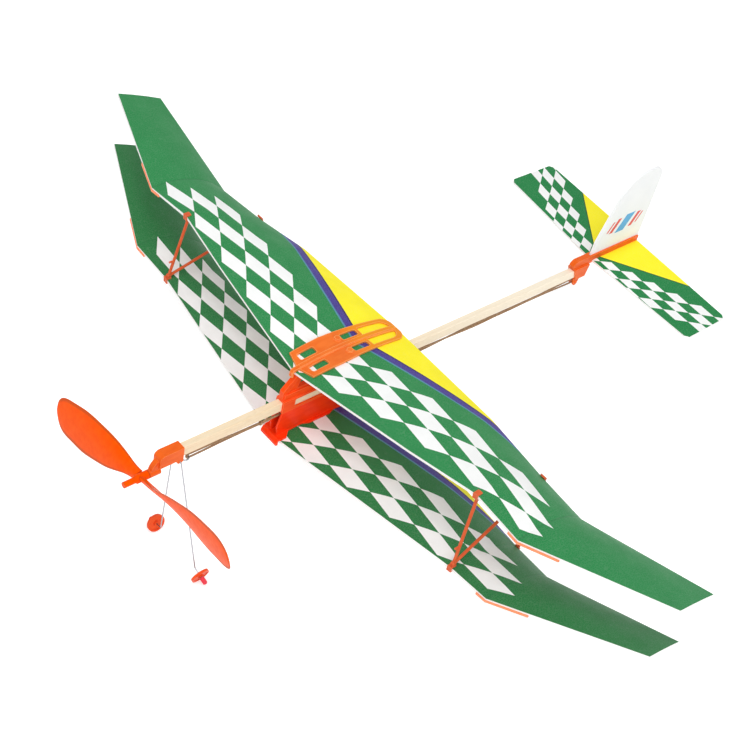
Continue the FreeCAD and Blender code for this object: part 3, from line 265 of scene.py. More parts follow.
class Effect(Graph):
    """A shader node group with named inputs and outputs, built once for several finishes."""

    def __init__(self, name: str, inputs: dict[str, str], outputs: dict[str, str]) -> None:
        """Makes the empty group.

        Args:
            name: what the effect is called.
            inputs: each input's name and kind of socket.
            outputs: each output's name and kind of socket.
        """
        tree = bpy.data.node_groups.new(name, "ShaderNodeTree")
        super().__init__(tree)
        for way, sockets in (("INPUT", inputs), ("OUTPUT", outputs)):
            for label, kind in sockets.items():
                tree.interface.new_socket(name=label, in_out=way, socket_type="NodeSocket" + kind)
        self.entry = tree.nodes.new("NodeGroupInput")
        self.exit = tree.nodes.new("NodeGroupOutput")

    def given(self, name: str) -> Term:
        """Gives one of the group's inputs."""
        return Term(self, self.entry.outputs[name])

    def give(self, name: str, value: Term) -> None:
        """Sends a value out of the group."""
        self.tree.links.new(value.socket, self.exit.inputs[name])


class Effects(Enum):
    """The surface effects that the finishes share."""

    MOULDED = "moulded_skin"
    CELLS = "foam_cells"
    GRAIN = "wood_grain"
    SCUFFS = "fine_scuffs"
    CHECKS = "check_print"


def moulded_skin() -> None:
    """Flow marks and a soft orange-peel, as on small injection mouldings."""
    group = Effect(Effects.MOULDED.value, {"Place": "Vector", "Flow": "Float", "Peel": "Float"},
                   {"Mottle": "Float", "Roughness": "Float", "Height": "Float"})
    place = group.given("Place")
    flow = (0.35, 0.12, 0.35)
    slow = group.noise(group.scaled(place, flow), group.given("Flow"), detail=2.0)
    peel = group.noise(place, group.given("Peel"), detail=2.0, rough=0.6)
    specks = group.noise(place, scale=9.0, detail=1.0)
    group.give("Mottle", slow.ramp(0.3, 0.7))
    group.give("Roughness", slow * 0.16 + specks * 0.12 + 0.24)
    group.give("Height", peel)


def foam_cells() -> None:
    """The skin of thin sheet foam: small closed cells and a faint calendered wave."""
    group = Effect(Effects.CELLS.value, {"Place": "Vector", "Cell": "Float"},
                   {"Cells": "Float", "Cloud": "Float", "Height": "Float"})
    place = group.given("Place")
    wall = 0.16
    knots = group.node("ShaderNodeTexVoronoi", {"feature": "DISTANCE_TO_EDGE"},
                       Vector=place, Scale=group.given("Cell"))
    walls = group.term(knots).ramp(0.0, wall)
    fine = group.noise(place, scale=2.6, detail=4.0, rough=0.65)
    cloud = group.noise(place, scale=0.09)
    group.give("Cells", walls)
    group.give("Cloud", (cloud * 0.6 + fine * 0.4).ramp(0.32, 0.68))
    group.give("Height", walls * 0.5 + fine * 0.8)


def wood_grain() -> None:
    """Straight birch grain along the stick: growth lines, pores and a slow change of tone."""
    group = Effect(Effects.GRAIN.value, {"Place": "Vector", "Spacing": "Float"},
                   {"Lines": "Float", "Pores": "Float", "Cloud": "Float"})
    place = group.given("Place")
    drift, pore, patch = (0.05, 0.006, 0.05), (5.5, 0.16, 5.5), (0.2, 0.012, 0.2)
    tilt, waviness = 0.35, 3.4
    wander = group.noise(group.scaled(place, drift), scale=3.0)
    x, _, z = group.parts(place)
    rings = (x * tilt + z + wander * waviness) / group.given("Spacing")
    lines = group.noise(group.join(rings, 0.0, 0.0), scale=1.0, rough=0.7)
    pores = group.noise(group.scaled(place, pore), scale=1.0, detail=2.0, rough=0.55)
    cloud = group.noise(group.scaled(place, patch), scale=1.0, detail=2.0)
    group.give("Lines", lines.ramp(0.35, 0.66))
    group.give("Pores", pores.ramp(0.56, 0.72))
    group.give("Cloud", cloud.ramp(0.3, 0.7))


def fine_scuffs() -> None:
    """Hairline marks from handling, in two directions."""
    group = Effect(Effects.SCUFFS.value, {"Place": "Vector", "Density": "Float"},
                   {"Scuffs": "Float"})
    place, density = group.given("Place"), group.given("Density")
    along, aside = (3.0, 0.22, 1.6), (0.3, 2.6, 0.9)
    one = group.noise(group.scaled(place, along), density, detail=2.0, rough=0.7)
    two = group.noise(group.scaled(place, aside), density, detail=2.0, rough=0.7)
    group.give("Scuffs", (one.ramp(0.66, 0.74) + two.ramp(0.68, 0.76)).limited())


LATTICE = ("Start", "Out", "Aft", "Stretch", "Lean", "Swerve")
EDGE = ("Start", "Sweep", "Curl")
INKS = ("Field", "Lozenge", "Band", "Hairline", "Seam", "Panel")


def check_print() -> None:
    """The print on the foam: three rows of lozenges, a swept band between thin lines, and a panel.

    A lozenge's row and column each come from six numbers: a start, how it changes outwards and
    aft, how it stretches towards the tip, and how far port and starboard differ. No lozenge lies
    ahead of a line that runs from Limit on the middle line back towards the tip. A band or panel
    edge comes from three: its start on the middle line, its sweep and its curl at the tip.
    """
    numbers = {f"{kind} {name}": "Float" for kind in ("Row", "Column") for name in LATTICE}
    edges = {f"{edge} {name}": "Float" for edge in ("Band", "Panel") for name in EDGE}
    inks = {name: "Color" for name in INKS}
    group = Effect(Effects.CHECKS.value,
                   {"Place": "Vector", "Limit": "Float", **numbers, **edges, **inks},
                   {"Ink": "Color", "Lozenge": "Float"})
    x, y, _ = group.parts(group.given("Place"))
    out = x.size()
    deepest, limit_sweep, hairline_width, seam_width = 4.5, 0.55, 1.1, 1.0

    def step(kind: str) -> Term:
        """Gives how many rows or columns a point is along."""
        start, outward, aft, stretch, lean, swerve = (
            group.given(f"{kind} {name}") for name in LATTICE)
        return (start + outward * out + aft * y + stretch * out * out
                + lean * x + swerve * x * out).floor()

    row, column = step("Row"), step("Column")
    depth, reach = column - row, column + row
    lozenge = (depth.modulo(2.0).below(0.5) * depth.above(-0.5) * depth.below(deepest)
               * reach.above(-0.5) * y.above(group.given("Limit") + out * limit_sweep))

    def behind(edge: str) -> Term:
        """Gives how far aft of a swept edge a point is."""
        start, sweep, curl = (group.given(f"{edge} {name}") for name in EDGE)
        return y - (start + sweep * out + curl * out * out * out)

    band, panel = behind("Band"), behind("Panel")
    ink = group.mix(lozenge, group.given("Field"), group.given("Lozenge"))
    for where, name in ((band.above(-hairline_width), "Hairline"), (band.above(0.0), "Band"),
                        (panel.above(-seam_width), "Seam"), (panel.above(0.0), "Panel")):
        ink = group.mix(where, ink, group.given(name))
    group.give("Ink", ink)
    group.give("Lozenge", lozenge)


# ---------------------------------------------------------------- finishes

class Finish(Graph):
    """A material under construction, with the usual ways in and out."""

    def __init__(self, name: str) -> None:
        """Makes an empty material with a plain surface shader."""
        self.material = bpy.data.materials.new(name)
        self.material.use_nodes = True
        super().__init__(self.material.node_tree)
        self.tree.nodes.clear()
        self.shader = self.node("ShaderNodeBsdfPrincipled")
        out = self.node("ShaderNodeOutputMaterial")
        self.tree.links.new(self.shader.outputs[0], out.inputs[0])
        metres = self.term(self.node("ShaderNodeTexCoord"), "Object")
        self.place = self.scaled(metres, (1 / MM, 1 / MM, 1 / MM))

    def effect(self, which: Effects, **inputs: object) -> bpy.types.Node:
        """Adds a shared effect.

        Args:
            which: the effect.
            inputs: its values or terms by name, with _ for a space.

        Returns:
            The effect's node.
        """
        made = self.node("ShaderNodeGroup", {"node_tree": bpy.data.node_groups[which.value]})
        self.fill(made, inputs)
        return made

    def set(self, **inputs: object) -> None:
        """Sets or links the surface shader's inputs."""
        self.fill(self.shader, inputs)

    def facing(self) -> Term:
        """Gives the true direction that the surface faces."""
        return self.term(self.node("ShaderNodeNewGeometry"), "True Normal")

    def edges(self, reach: float) -> Term:
        """Finds the piece's edges.

        Args:
            reach: how far in from an edge the effect goes, in millimetres.

        Returns:
            1 at an edge, and 0 away from it.
        """
        least, most = 0.01, 0.2
        rounded = self.node("ShaderNodeBevel", {"samples": 6}, Radius=reach * MM)
        flat = self.term(self.node("ShaderNodeNewGeometry"), "Normal")
        same = self.across("DOT_PRODUCT", self.term(rounded), flat, "Value")
        return (1.0 - same).ramp(least, most)

    def bump(self, height: Term, strength: float, depth: float) -> None:
        """Gives the surface its small relief.

        Args:
            height: how high the relief stands, from 0 to 1.
            strength: how much of it shows.
            depth: how deep it is, in millimetres.
        """
        made = self.node("ShaderNodeBump", Height=height, Strength=strength, Distance=depth * MM)
        self.set(Normal=self.term(made))


@dataclass(frozen=True)
class MouldedPlastic:
    """Moulded styrene with a soft gloss; its thin edges take a painted highlight or shade."""

    name: str
    colour: Colour
    deep: Colour
    # The edge tone is a painted highlight on the thin edges, or a painted shade where it is darker.
    edge: Colour
    edge_paint_share: float = 0.5
    reach: float = 0.7
    roughen: float = 0.0
    sheen: Colour = tone(255, 190, 130)
    index: float = 1.45
    worn: Colour = tone(255, 160, 96)
    painted_glow_through: Colour | None = None
    turn: tuple[float, float] = (130.0, 148.0)

    def build(self) -> bpy.types.Material:
        """Builds the finish, with a painted glow aft of a thin plate's turn from the panel under
        it.

        Returns:
            The material.
        """
        mottling, glow_through_share, wear = 0.55, 0.9, 0.05
        paint = Finish(self.name)
        skin = paint.effect(Effects.MOULDED, Place=paint.place, Flow=1.0, Peel=1.3)
        scuffs = paint.term(paint.effect(Effects.SCUFFS, Place=paint.place, Density=0.55))
        colour = paint.mix(paint.term(skin, "Mottle") * mottling, self.colour, self.deep)
        # Painted glow: aft of the turn, the panel's yellow light showing through the thin plate.
        if self.painted_glow_through is not None:
            aft = paint.parts(paint.place)[1].ramp(*self.turn)
            colour = paint.mix(aft * glow_through_share, colour, self.painted_glow_through)
        # Painted highlight, or painted shade where the edge tone is darker, along the thin edges.
        colour = paint.mix(paint.edges(self.reach) * self.edge_paint_share, colour, self.edge)
        paint.set(Base_Color=paint.mix(scuffs * wear, colour, self.worn),
                  Roughness=paint.term(skin, "Roughness") + scuffs * 0.15 + self.roughen,
                  IOR=self.index, Specular_IOR_Level=0.26, Specular_Tint=self.sheen)
        paint.bump(paint.term(skin, "Height") + scuffs * -0.2, strength=0.22, depth=0.08)
        return paint.material


@dataclass(frozen=True)
class Lattice:
    """How the rows or columns of lozenges run over a wing, per millimetre, in LATTICE's order."""

    start: float
    outward: float
    aft: float
    stretch: float
    lean: float
    swerve: float


@dataclass(frozen=True)
class PrintedFoam:
    """Printed sheet foam: ink on the top skin, bare white foam on the edges and underneath."""

    name: str
    rows: Lattice
    columns: Lattice
    band: Triple
    panel: Triple
    limit: float = 0.0
    crease: float = 1000.0
    wear: float = 0.14
    field_ink: Colour = tone(34, 132, 70)
    lozenge_ink: Colour = tone(246, 247, 246)
    band_ink: Colour = tone(70, 56, 140)
    hairline_ink: Colour = tone(80, 136, 162)
    seam_ink: Colour = tone(58, 34, 84)
    panel_ink: Colour = tone(255, 242, 24)
    foam: Colour = tone(247, 248, 246)
    grime: Colour = tone(20, 52, 34)
    crease_shade: Colour = tone(32, 96, 56)

    def checks(self, paint: Finish) -> bpy.types.Node:
        """Adds the print.

        Args:
            paint: the material that takes it.

        Returns:
            The print's node.
        """
        numbers: dict[str, object] = {}
        for kind, lattice in (("Row", self.rows), ("Column", self.columns)):
            numbers |= {f"{kind}_{name}": value for name, value in zip(LATTICE, astuple(lattice))}
        for edge, line in (("Band", self.band), ("Panel", self.panel)):
            numbers |= {f"{edge}_{name}": value for name, value in zip(EDGE, line)}
        inks = {name: getattr(self, f"{name.lower()}_ink") for name in INKS}
        return paint.effect(Effects.CHECKS, Place=paint.place, Limit=self.limit, **numbers, **inks)

    def build(self) -> bpy.types.Material:
        """Builds the finish.

        Returns:
            The material.
        """
        level, bleed, fold_width, fold_shade, groove = 0.45, 0.04, 0.9, 0.3, 2.0
        paint = Finish(self.name)
        checks = self.checks(paint)
        cells = paint.effect(Effects.CELLS, Place=paint.place, Cell=0.9)
        cloud = paint.term(cells, "Cloud")
        top = paint.parts(paint.facing())[2].above(level)
        walls = (1.0 - paint.term(cells, "Cells")) * bleed
        worn = paint.mix(walls, paint.term(checks, "Ink"), self.foam)
        darker = paint.mix(cloud * self.wear, worn, paint.mix(0.5, worn, self.grime))
        out = paint.parts(paint.place)[0].size()
        # Painted shade along the crease, kept off the white lozenges.
        fold = 1.0 - (out - self.crease).size().ramp(0.0, fold_width)
        shade = fold * (1.0 - paint.term(checks, "Lozenge")) * fold_shade
        printed = paint.mix(shade, darker, self.crease_shade)
        paint.set(Base_Color=paint.mix(top, self.foam, printed),
                  Roughness=0.62 - top * 0.12 + cloud * 0.1, IOR=1.48, Specular_IOR_Level=0.22)
        paint.bump(paint.term(cells, "Height") - fold * groove, strength=0.22, depth=0.1)
        return paint.material


@dataclass(frozen=True)
class FinFoam:
    """Bare white foam with a broad slanted bar between slim and fine ones, on both sides.

    Each bar has its distance from the middle, half its width, and its share of the full height.
    """

    name: str = "bare_fin_foam"
    middle: tuple[float, float] = (360.0, 34.0)
    half_height: float = 6.2
    slant: float = 0.55
    broad: Triple = (0.0, 4.2, 1.0)
    slim: Triple = (9.2, 1.7, 0.8)
    fine: Triple = (13.6, 0.8, 0.6)
    foam: Colour = tone(248, 249, 250)
    shade: Colour = tone(222, 228, 236)
    broad_ink: Colour = tone(96, 176, 226)
    slim_ink: Colour = tone(226, 92, 88)

    def build(self) -> bpy.types.Material:
        """Builds the finish.

        Returns:
            The material.
        """
        sideways, shading = 0.6, 0.12
        paint = Finish(self.name)
        _, y, z = paint.parts(paint.place)
        up = z - self.middle[1]
        along = (y - self.middle[0]) - up * self.slant

        def bar(distance: float, half: float, share: float) -> Term:
            """Is 1 on the bars that stand at a distance from the middle."""
            wide = (along.size() - distance).size().below(half)
            return wide * up.size().below(self.half_height * share)

        side = paint.parts(paint.facing())[0].size().above(sideways)
        cells = paint.effect(Effects.CELLS, Place=paint.place, Cell=1.0)
        cloud = paint.term(cells, "Cloud")
        ink = paint.mix(cloud * shading, self.foam, self.shade)
        ink = paint.mix(bar(*self.broad) * side, ink, self.broad_ink)
        ink = paint.mix((bar(*self.slim) + bar(*self.fine)).limited() * side, ink, self.slim_ink)
        paint.set(Base_Color=ink, Roughness=cloud * 0.15 + 0.5, IOR=1.48, Specular_IOR_Level=0.3)
        paint.bump(paint.term(cells, "Height"), strength=0.3, depth=0.12)
        return paint.material


@dataclass(frozen=True)
class BirchStick:
    """Planed birch, unvarnished, growing paler aft between the two stations of its turn."""

    name: str = "planed_birch"
    pale: Colour = tone(240, 223, 194)
    line: Colour = tone(226, 196, 150)
    pore: Colour = tone(186, 150, 108)
    patch: Colour = tone(244, 220, 184)
    paler_aft: Colour = tone(255, 250, 236)
    turn: tuple[float, float] = (90.0, 300.0)

    def build(self) -> bpy.types.Material:
        """Builds the finish.

        Returns:
            The material.
        """
        paint = Finish(self.name)
        grain = paint.effect(Effects.GRAIN, Place=paint.place, Spacing=0.55)
        lines, pores, cloud = (paint.term(grain, name) for name in ("Lines", "Pores", "Cloud"))
        aft = paint.parts(paint.place)[1].ramp(*self.turn)
        colour = self.pale
        for share, other in ((lines * 0.5, self.line), (pores * 0.3, self.pore),
                             (cloud * 0.3, self.patch), (aft * 0.5, self.paler_aft)):
            colour = paint.mix(share, colour, other)
        paint.set(Base_Color=colour, Roughness=0.66 - lines * 0.08, IOR=1.5,
                  Specular_IOR_Level=0.28)
        paint.bump(pores * -0.6 + lines * 0.5, strength=0.4, depth=0.06)
        return paint.material


@dataclass(frozen=True)
class SpringWire:
    """Drawn steel wire."""

    name: str = "spring_wire"
    colour: Colour = tone(176, 178, 184)
    dull: Colour = tone(112, 112, 120)
    draw: Triple = (6.0, 0.8, 0.8)

    def build(self) -> bpy.types.Material:
        """Builds the finish.

        Returns:
            The material.
        """
        paint = Finish(self.name)
        drawn = paint.noise(paint.scaled(paint.place, self.draw), scale=1.0, rough=0.7)
        scuffs = paint.term(paint.effect(Effects.SCUFFS, Place=paint.place, Density=1.2))
        paint.set(Base_Color=paint.mix(drawn.ramp(0.3, 0.7) * 0.4, self.colour, self.dull),
                  Metallic=1.0, Roughness=drawn * 0.2 + scuffs * 0.2 + 0.2)
        paint.bump(drawn, strength=0.2, depth=0.02)
        return paint.material


@dataclass(frozen=True)
class RubberStrip:
    """Tan rubber strip with a little talc on it."""

    name: str = "rubber_strip"
    colour: Colour = tone(158, 122, 88)
    talc: Colour = tone(214, 194, 166)
    smear: Triple = (2.2, 0.5, 2.2)
    slitting: Triple = (9.0, 0.35, 9.0)

    def build(self) -> bpy.types.Material:
        """Builds the finish.

        Returns:
            The material.
        """
        paint = Finish(self.name)
        smears = paint.noise(paint.scaled(paint.place, self.smear), scale=1.0, detail=4.0,
                             rough=0.65)
        slits = paint.noise(paint.scaled(paint.place, self.slitting), scale=1.0, detail=2.0)
        dust = smears.ramp(0.42, 0.7)
        paint.set(Base_Color=paint.mix(dust * 0.45, self.colour, self.talc),
                  Roughness=dust * 0.3 + 0.5, IOR=1.5, Specular_IOR_Level=0.35)
        paint.bump(slits, strength=0.5, depth=0.06)
        return paint.material


# ---------------------------------------------------------------- pieces

def shown(mesh: bpy.types.Mesh, name: str, material: bpy.types.Material) -> bpy.types.Object:
    """Puts a finished mesh in the scene as a piece at the origin.

    Args:
        mesh: the piece's mesh.
        name: what the piece is called.
        material: what it is made of, where the mesh doesn't say.

    Returns:
        The piece.
    """
    piece = bpy.data.objects.new(name, mesh)
    bpy.context.scene.collection.objects.link(piece)
    if not mesh.materials:
        mesh.materials.append(material)
    return piece


def outward(mesh: bpy.types.Mesh) -> bpy.types.Mesh:
    """Merges doubles and turns every face outwards.

    Args:
        mesh: a closed mesh, which is changed.

    Returns:
        The same mesh.
    """
    shape = bmesh.new()
    shape.from_mesh(mesh)
    bmesh.ops.remove_doubles(shape, verts=shape.verts, dist=1e-6)
    bmesh.ops.recalc_face_normals(shape, faces=shape.faces)
    shape.to_mesh(mesh)
    shape.free()
    return mesh


def section_frames(path: list[Vector], closed: bool) -> list[tuple[Vector, Vector]]:
    """Carries a pair of directions along a path without needless twist.

    Args:
        path: the points of the middle line.
        closed: whether the path comes back to its start.

    Returns:
        For each point, two directions square to the path and to each other.
    """
    count = len(path)

    def heading(k: int) -> Vector:
        """Gives the path's direction at a point, from its neighbours."""
        after = path[(k + 1) % count] if closed else path[min(k + 1, count - 1)]
        before = path[k - 1] if closed else path[max(k - 1, 0)]
        return (after - before).normalized()

    ahead = [heading(k) for k in range(count)]
    normal = ahead[0].orthogonal().normalized()
    frames = []
    for way in ahead:
        normal = (normal - way * normal.dot(way)).normalized()
        frames.append((normal.copy(), way.cross(normal)))
    if closed:
        end = (normal - ahead[0] * normal.dot(ahead[0])).normalized()
        slip = math.atan2(end.dot(frames[0][1]), end.dot(frames[0][0]))
        frames = [tuple(Matrix.Rotation(-slip * k / count, 3, way) @ v for v in pair)
                  for k, (way, pair) in enumerate(zip(ahead, frames))]
    return frames


def tube(path: list[Vector], radius: float, closed: bool = False) -> bpy.types.Mesh:
    """Sweeps a round section along a path.

    Args:
        path: the points of the middle line.
        radius: the section's radius in metres.
        closed: whether the path comes back to its start.

    Returns:
        A closed mesh with its faces outwards.
    """
    count, sides = len(path), 10
    angles = [2 * math.pi * side / sides for side in range(sides)]
    shape = bmesh.new()
    rings = [[shape.verts.new(point + (u * math.cos(a) + v * math.sin(a)) * radius)
              for a in angles]
             for point, (u, v) in zip(path, section_frames(path, closed))]
    for k in range(count if closed else count - 1):
        one, two = rings[k], rings[(k + 1) % count]
        for s in range(sides):
            shape.faces.new((one[s], one[(s + 1) % sides], two[(s + 1) % sides], two[s]))
    if not closed:
        shape.faces.new(rings[0])
        shape.faces.new(rings[-1])
    bmesh.ops.recalc_face_normals(shape, faces=shape.faces)
    for face in shape.faces:
        face.smooth = len(face.verts) == 4
    mesh = bpy.data.meshes.new("tube")
    shape.to_mesh(mesh)
    shape.free()
    return mesh


def joined(meshes: list[bpy.types.Mesh], name: str) -> bpy.types.Mesh:
    """Puts several meshes into one.

    Args:
        meshes: the meshes, which are used up.
        name: what the whole is called.

    Returns:
        The whole.
    """
    shape = bmesh.new()
    for mesh in meshes:
        shape.from_mesh(mesh)
        bpy.data.meshes.remove(mesh)
    whole = bpy.data.meshes.new(name)
    shape.to_mesh(whole)
    shape.free()
    return whole


@dataclass
class RubberMotor:
    """The rubber loop held taut between the propeller's hook and the tail peg, with its knot.

    Lengths are in millimetres, apart from the hook's and the peg's places in metres.
    """

    finish: RubberStrip
    hook: Vector
    peg: Vector
    hook_radius: float = 1.25
    peg_radius: float = 1.45
    pinch: float = 0.46
    strip_width: float = 1.15
    strip_thickness: float = 0.7
    half_turns: int = 3
    slack: float = 0.5
    seed: int = 3
    bend_points: int = 14
    run_points: int = 150
    knot_aft: float = 45.0
    knot_radius: float = 1.05
    knot_points: int = 72
    knot_strip: float = 0.52
    tail_strip: float = 0.45
    knot_tail: tuple[Triple, ...] = (
        (0.5, 0.3, 0.6), (1.1, 0.9, 1.5), (1.2, 2.2, 2.3), (0.8, 3.2, 2.7))

    def sizes(self) -> dict[str, float]:
        """Gives the loop's sizes in millimetres, by the names of the tree's inputs."""
        return {"Hook": self.hook.y / MM, "Peg": self.peg.y / MM,
                "Hook Radius": self.hook_radius, "Peg Radius": self.peg_radius,
                "Pinch": self.pinch, "Strip Width": self.strip_width,
                "Strip Thickness": self.strip_thickness, "Half Turns": float(self.half_turns),
                "Slack": self.slack}

    def tree(self) -> bpy.types.NodeTree:
        """Builds the node tree that lays one closed strip round the hook and the peg.

        Returns:
            A tree whose named inputs are the loop's sizes, its seed and its rubber.
        """
        tree = bpy.data.node_groups.new("rubber_loop", "GeometryNodeTree")
        kinds = {"Geometry": "Geometry", **dict.fromkeys(self.sizes(), "Float"),
                 "Seed": "Int", "Rubber": "Material"}
        for name, kind in kinds.items():
            tree.interface.new_socket(name=name, in_out="INPUT", socket_type="NodeSocket" + kind)
        tree.interface.new_socket(name="Geometry", in_out="OUTPUT",
                                  socket_type="NodeSocketGeometry")
        graph = Graph(tree)
        entry, out = graph.node("NodeGroupInput"), graph.node("NodeGroupOutput")
        given = {name: graph.term(entry, name) for name in kinds}
        strip = self.swept(graph, given, self.route(graph, given))
        tree.links.new(strip.socket, out.inputs[0])
        return tree

    def route(self, graph: Graph, given: dict[str, Term]) -> Term:
        """Lays the loop: round the hook, out along one strand, round the peg and back.

        Args:
            graph: the tree under construction.
            given: the tree's inputs by name.

        Returns:
            The places of the middle line's points, in millimetres.
        """
        bend, run = self.bend_points, self.run_points
        waves, centre = 9.0, 0.5
        index = graph.term(graph.node("GeometryNodeInputIndex"))

        def progress(first: int, count: int) -> Term:
            """Gives how far along one stretch of the loop a point is, from 0 to 1."""
            return ((index - float(first)) / float(count)).limited()

        front, out_run = progress(0, bend) * math.pi, progress(bend, run)
        rear, back_run = progress(bend + run, bend) * math.pi, progress(2 * bend + run, run)
        share = (out_run - back_run).limited()
        hook_radius, peg_radius, pinch = (
            given[name] for name in ("Hook Radius", "Peg Radius", "Pinch"))
        spread = (pinch + (hook_radius - pinch) * (1.0 - share.ramp(0.0, 0.12))
                  + (peg_radius - pinch) * share.ramp(0.88, 1.0))
        side = (front + rear).cosine() * spread
        along = (given["Hook"] + (given["Peg"] - given["Hook"]) * share
                 - front.sine() * hook_radius + rear.sine() * peg_radius)
        angle = share.ramp(0.1, 0.88) * given["Half Turns"] * math.pi
        wave = graph.noise(graph.join(share * waves, given["Seed"], side), scale=1.0,
                           detail=1.0) - centre
        loose = share.ramp(0.02, 0.15) * (1.0 - share.ramp(0.85, 0.98)) * given["Slack"]
        return graph.join(angle.sine() * side + wave * loose, along,
                          angle.cosine() * side - wave * loose)

    def swept(self, graph: Graph, given: dict[str, Term], place: Term) -> Term:
        """Sweeps the strip's section along the loop.

        Args:
            graph: the tree under construction.
            given: the tree's inputs by name.
            place: the places of the middle line's points, in millimetres.

        Returns:
            The finished strip.
        """
        corner = 0.3
        profile = graph.node("GeometryNodeCurvePrimitiveQuadrilateral",
                             Width=given["Strip Width"] * MM,
                             Height=given["Strip Thickness"] * MM)
        soft = graph.node("GeometryNodeFilletCurve", Curve=graph.term(profile),
                          Radius=given["Strip Thickness"] * (corner * MM))
        points = 2 * (self.bend_points + self.run_points)
        strip = graph.term(graph.node("GeometryNodeMeshLine", Count=points))
        for kind, takes, others in (
                ("SetPosition", "Geometry", {"Position": graph.scaled(place, (MM, MM, MM))}),
                ("MeshToCurve", "Mesh", {}),
                ("SetSplineCyclic", "Geometry", {"Cyclic": True}),
                ("CurveToMesh", "Curve", {"Profile_Curve": graph.term(soft)}),
                ("SetShadeSmooth", "Geometry", {}),
                ("RealizeInstances", "Geometry", {}),
                ("SetMaterial", "Geometry", {"Material": given["Rubber"]})):
            strip = graph.term(graph.node(f"GeometryNode{kind}", **{takes: strip}, **others))
        return strip

    def loop(self, material: bpy.types.Material) -> bpy.types.Object:
        """Builds the strip as a plain mesh piece.

        Args:
            material: the rubber.

        Returns:
            The piece.
        """
        host = bpy.data.objects.new("rubber_host", bpy.data.meshes.new("rubber_host"))
        bpy.context.scene.collection.objects.link(host)
        modifier = host.modifiers.new("rubber", "NODES")
        modifier.node_group = self.tree()
        values = {**self.sizes(), "Seed": self.seed, "Rubber": material}
        for item in modifier.node_group.interface.items_tree:
            if item.in_out == "INPUT" and item.name in values:
                modifier[item.identifier] = values[item.name]
        host.update_tag()
        depsgraph = bpy.context.evaluated_depsgraph_get()
        mesh = bpy.data.meshes.new_from_object(host.evaluated_get(depsgraph),
                                               depsgraph=depsgraph)
        bpy.data.objects.remove(host)
        mesh.name = "rubber_strip_loop"
        return shown(outward(mesh), "rubber_strip_loop", material)

    def knot(self, material: bpy.types.Material) -> bpy.types.Object:
        """Builds the overhand knot that closes the loop, with its two cut ends.

        Args:
            material: the rubber.

        Returns:
            The piece.
        """
        middle = Vector((0, self.hook.y + self.knot_aft * MM, 0))
        widest, rise = 2.4, 1.089
        size = self.knot_radius * MM / widest
        angles = (2 * math.pi * k / self.knot_points for k in range(self.knot_points))
        ring = [middle + Vector((math.sin(a) + 2 * math.sin(2 * a), rise * math.cos(3 * a),
                                 math.cos(a) - 2 * math.cos(2 * a))) * size for a in angles]
        tails = [[middle + Vector((x * side, y * side, z)) * MM for x, y, z in self.knot_tail]
                 for side in (-1, 1)]
        strips = [tube(ring, self.knot_strip * MM, closed=True),
                  *(tube(tail, self.tail_strip * MM) for tail in tails)]
        return shown(joined(strips, "rubber_knot"), "rubber_knot", material)

    def build(self) -> None:
        """Makes both pieces between the propeller and the tail, and hides the CAD rubber motor."""
        material = self.finish.build()
        for piece in (self.loop(material), self.knot(material)):
            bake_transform(piece)
            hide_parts("rubber_motor")
            log.info("%s: %d faces, winds with the propeller", piece.name,
                     len(piece.data.polygons))


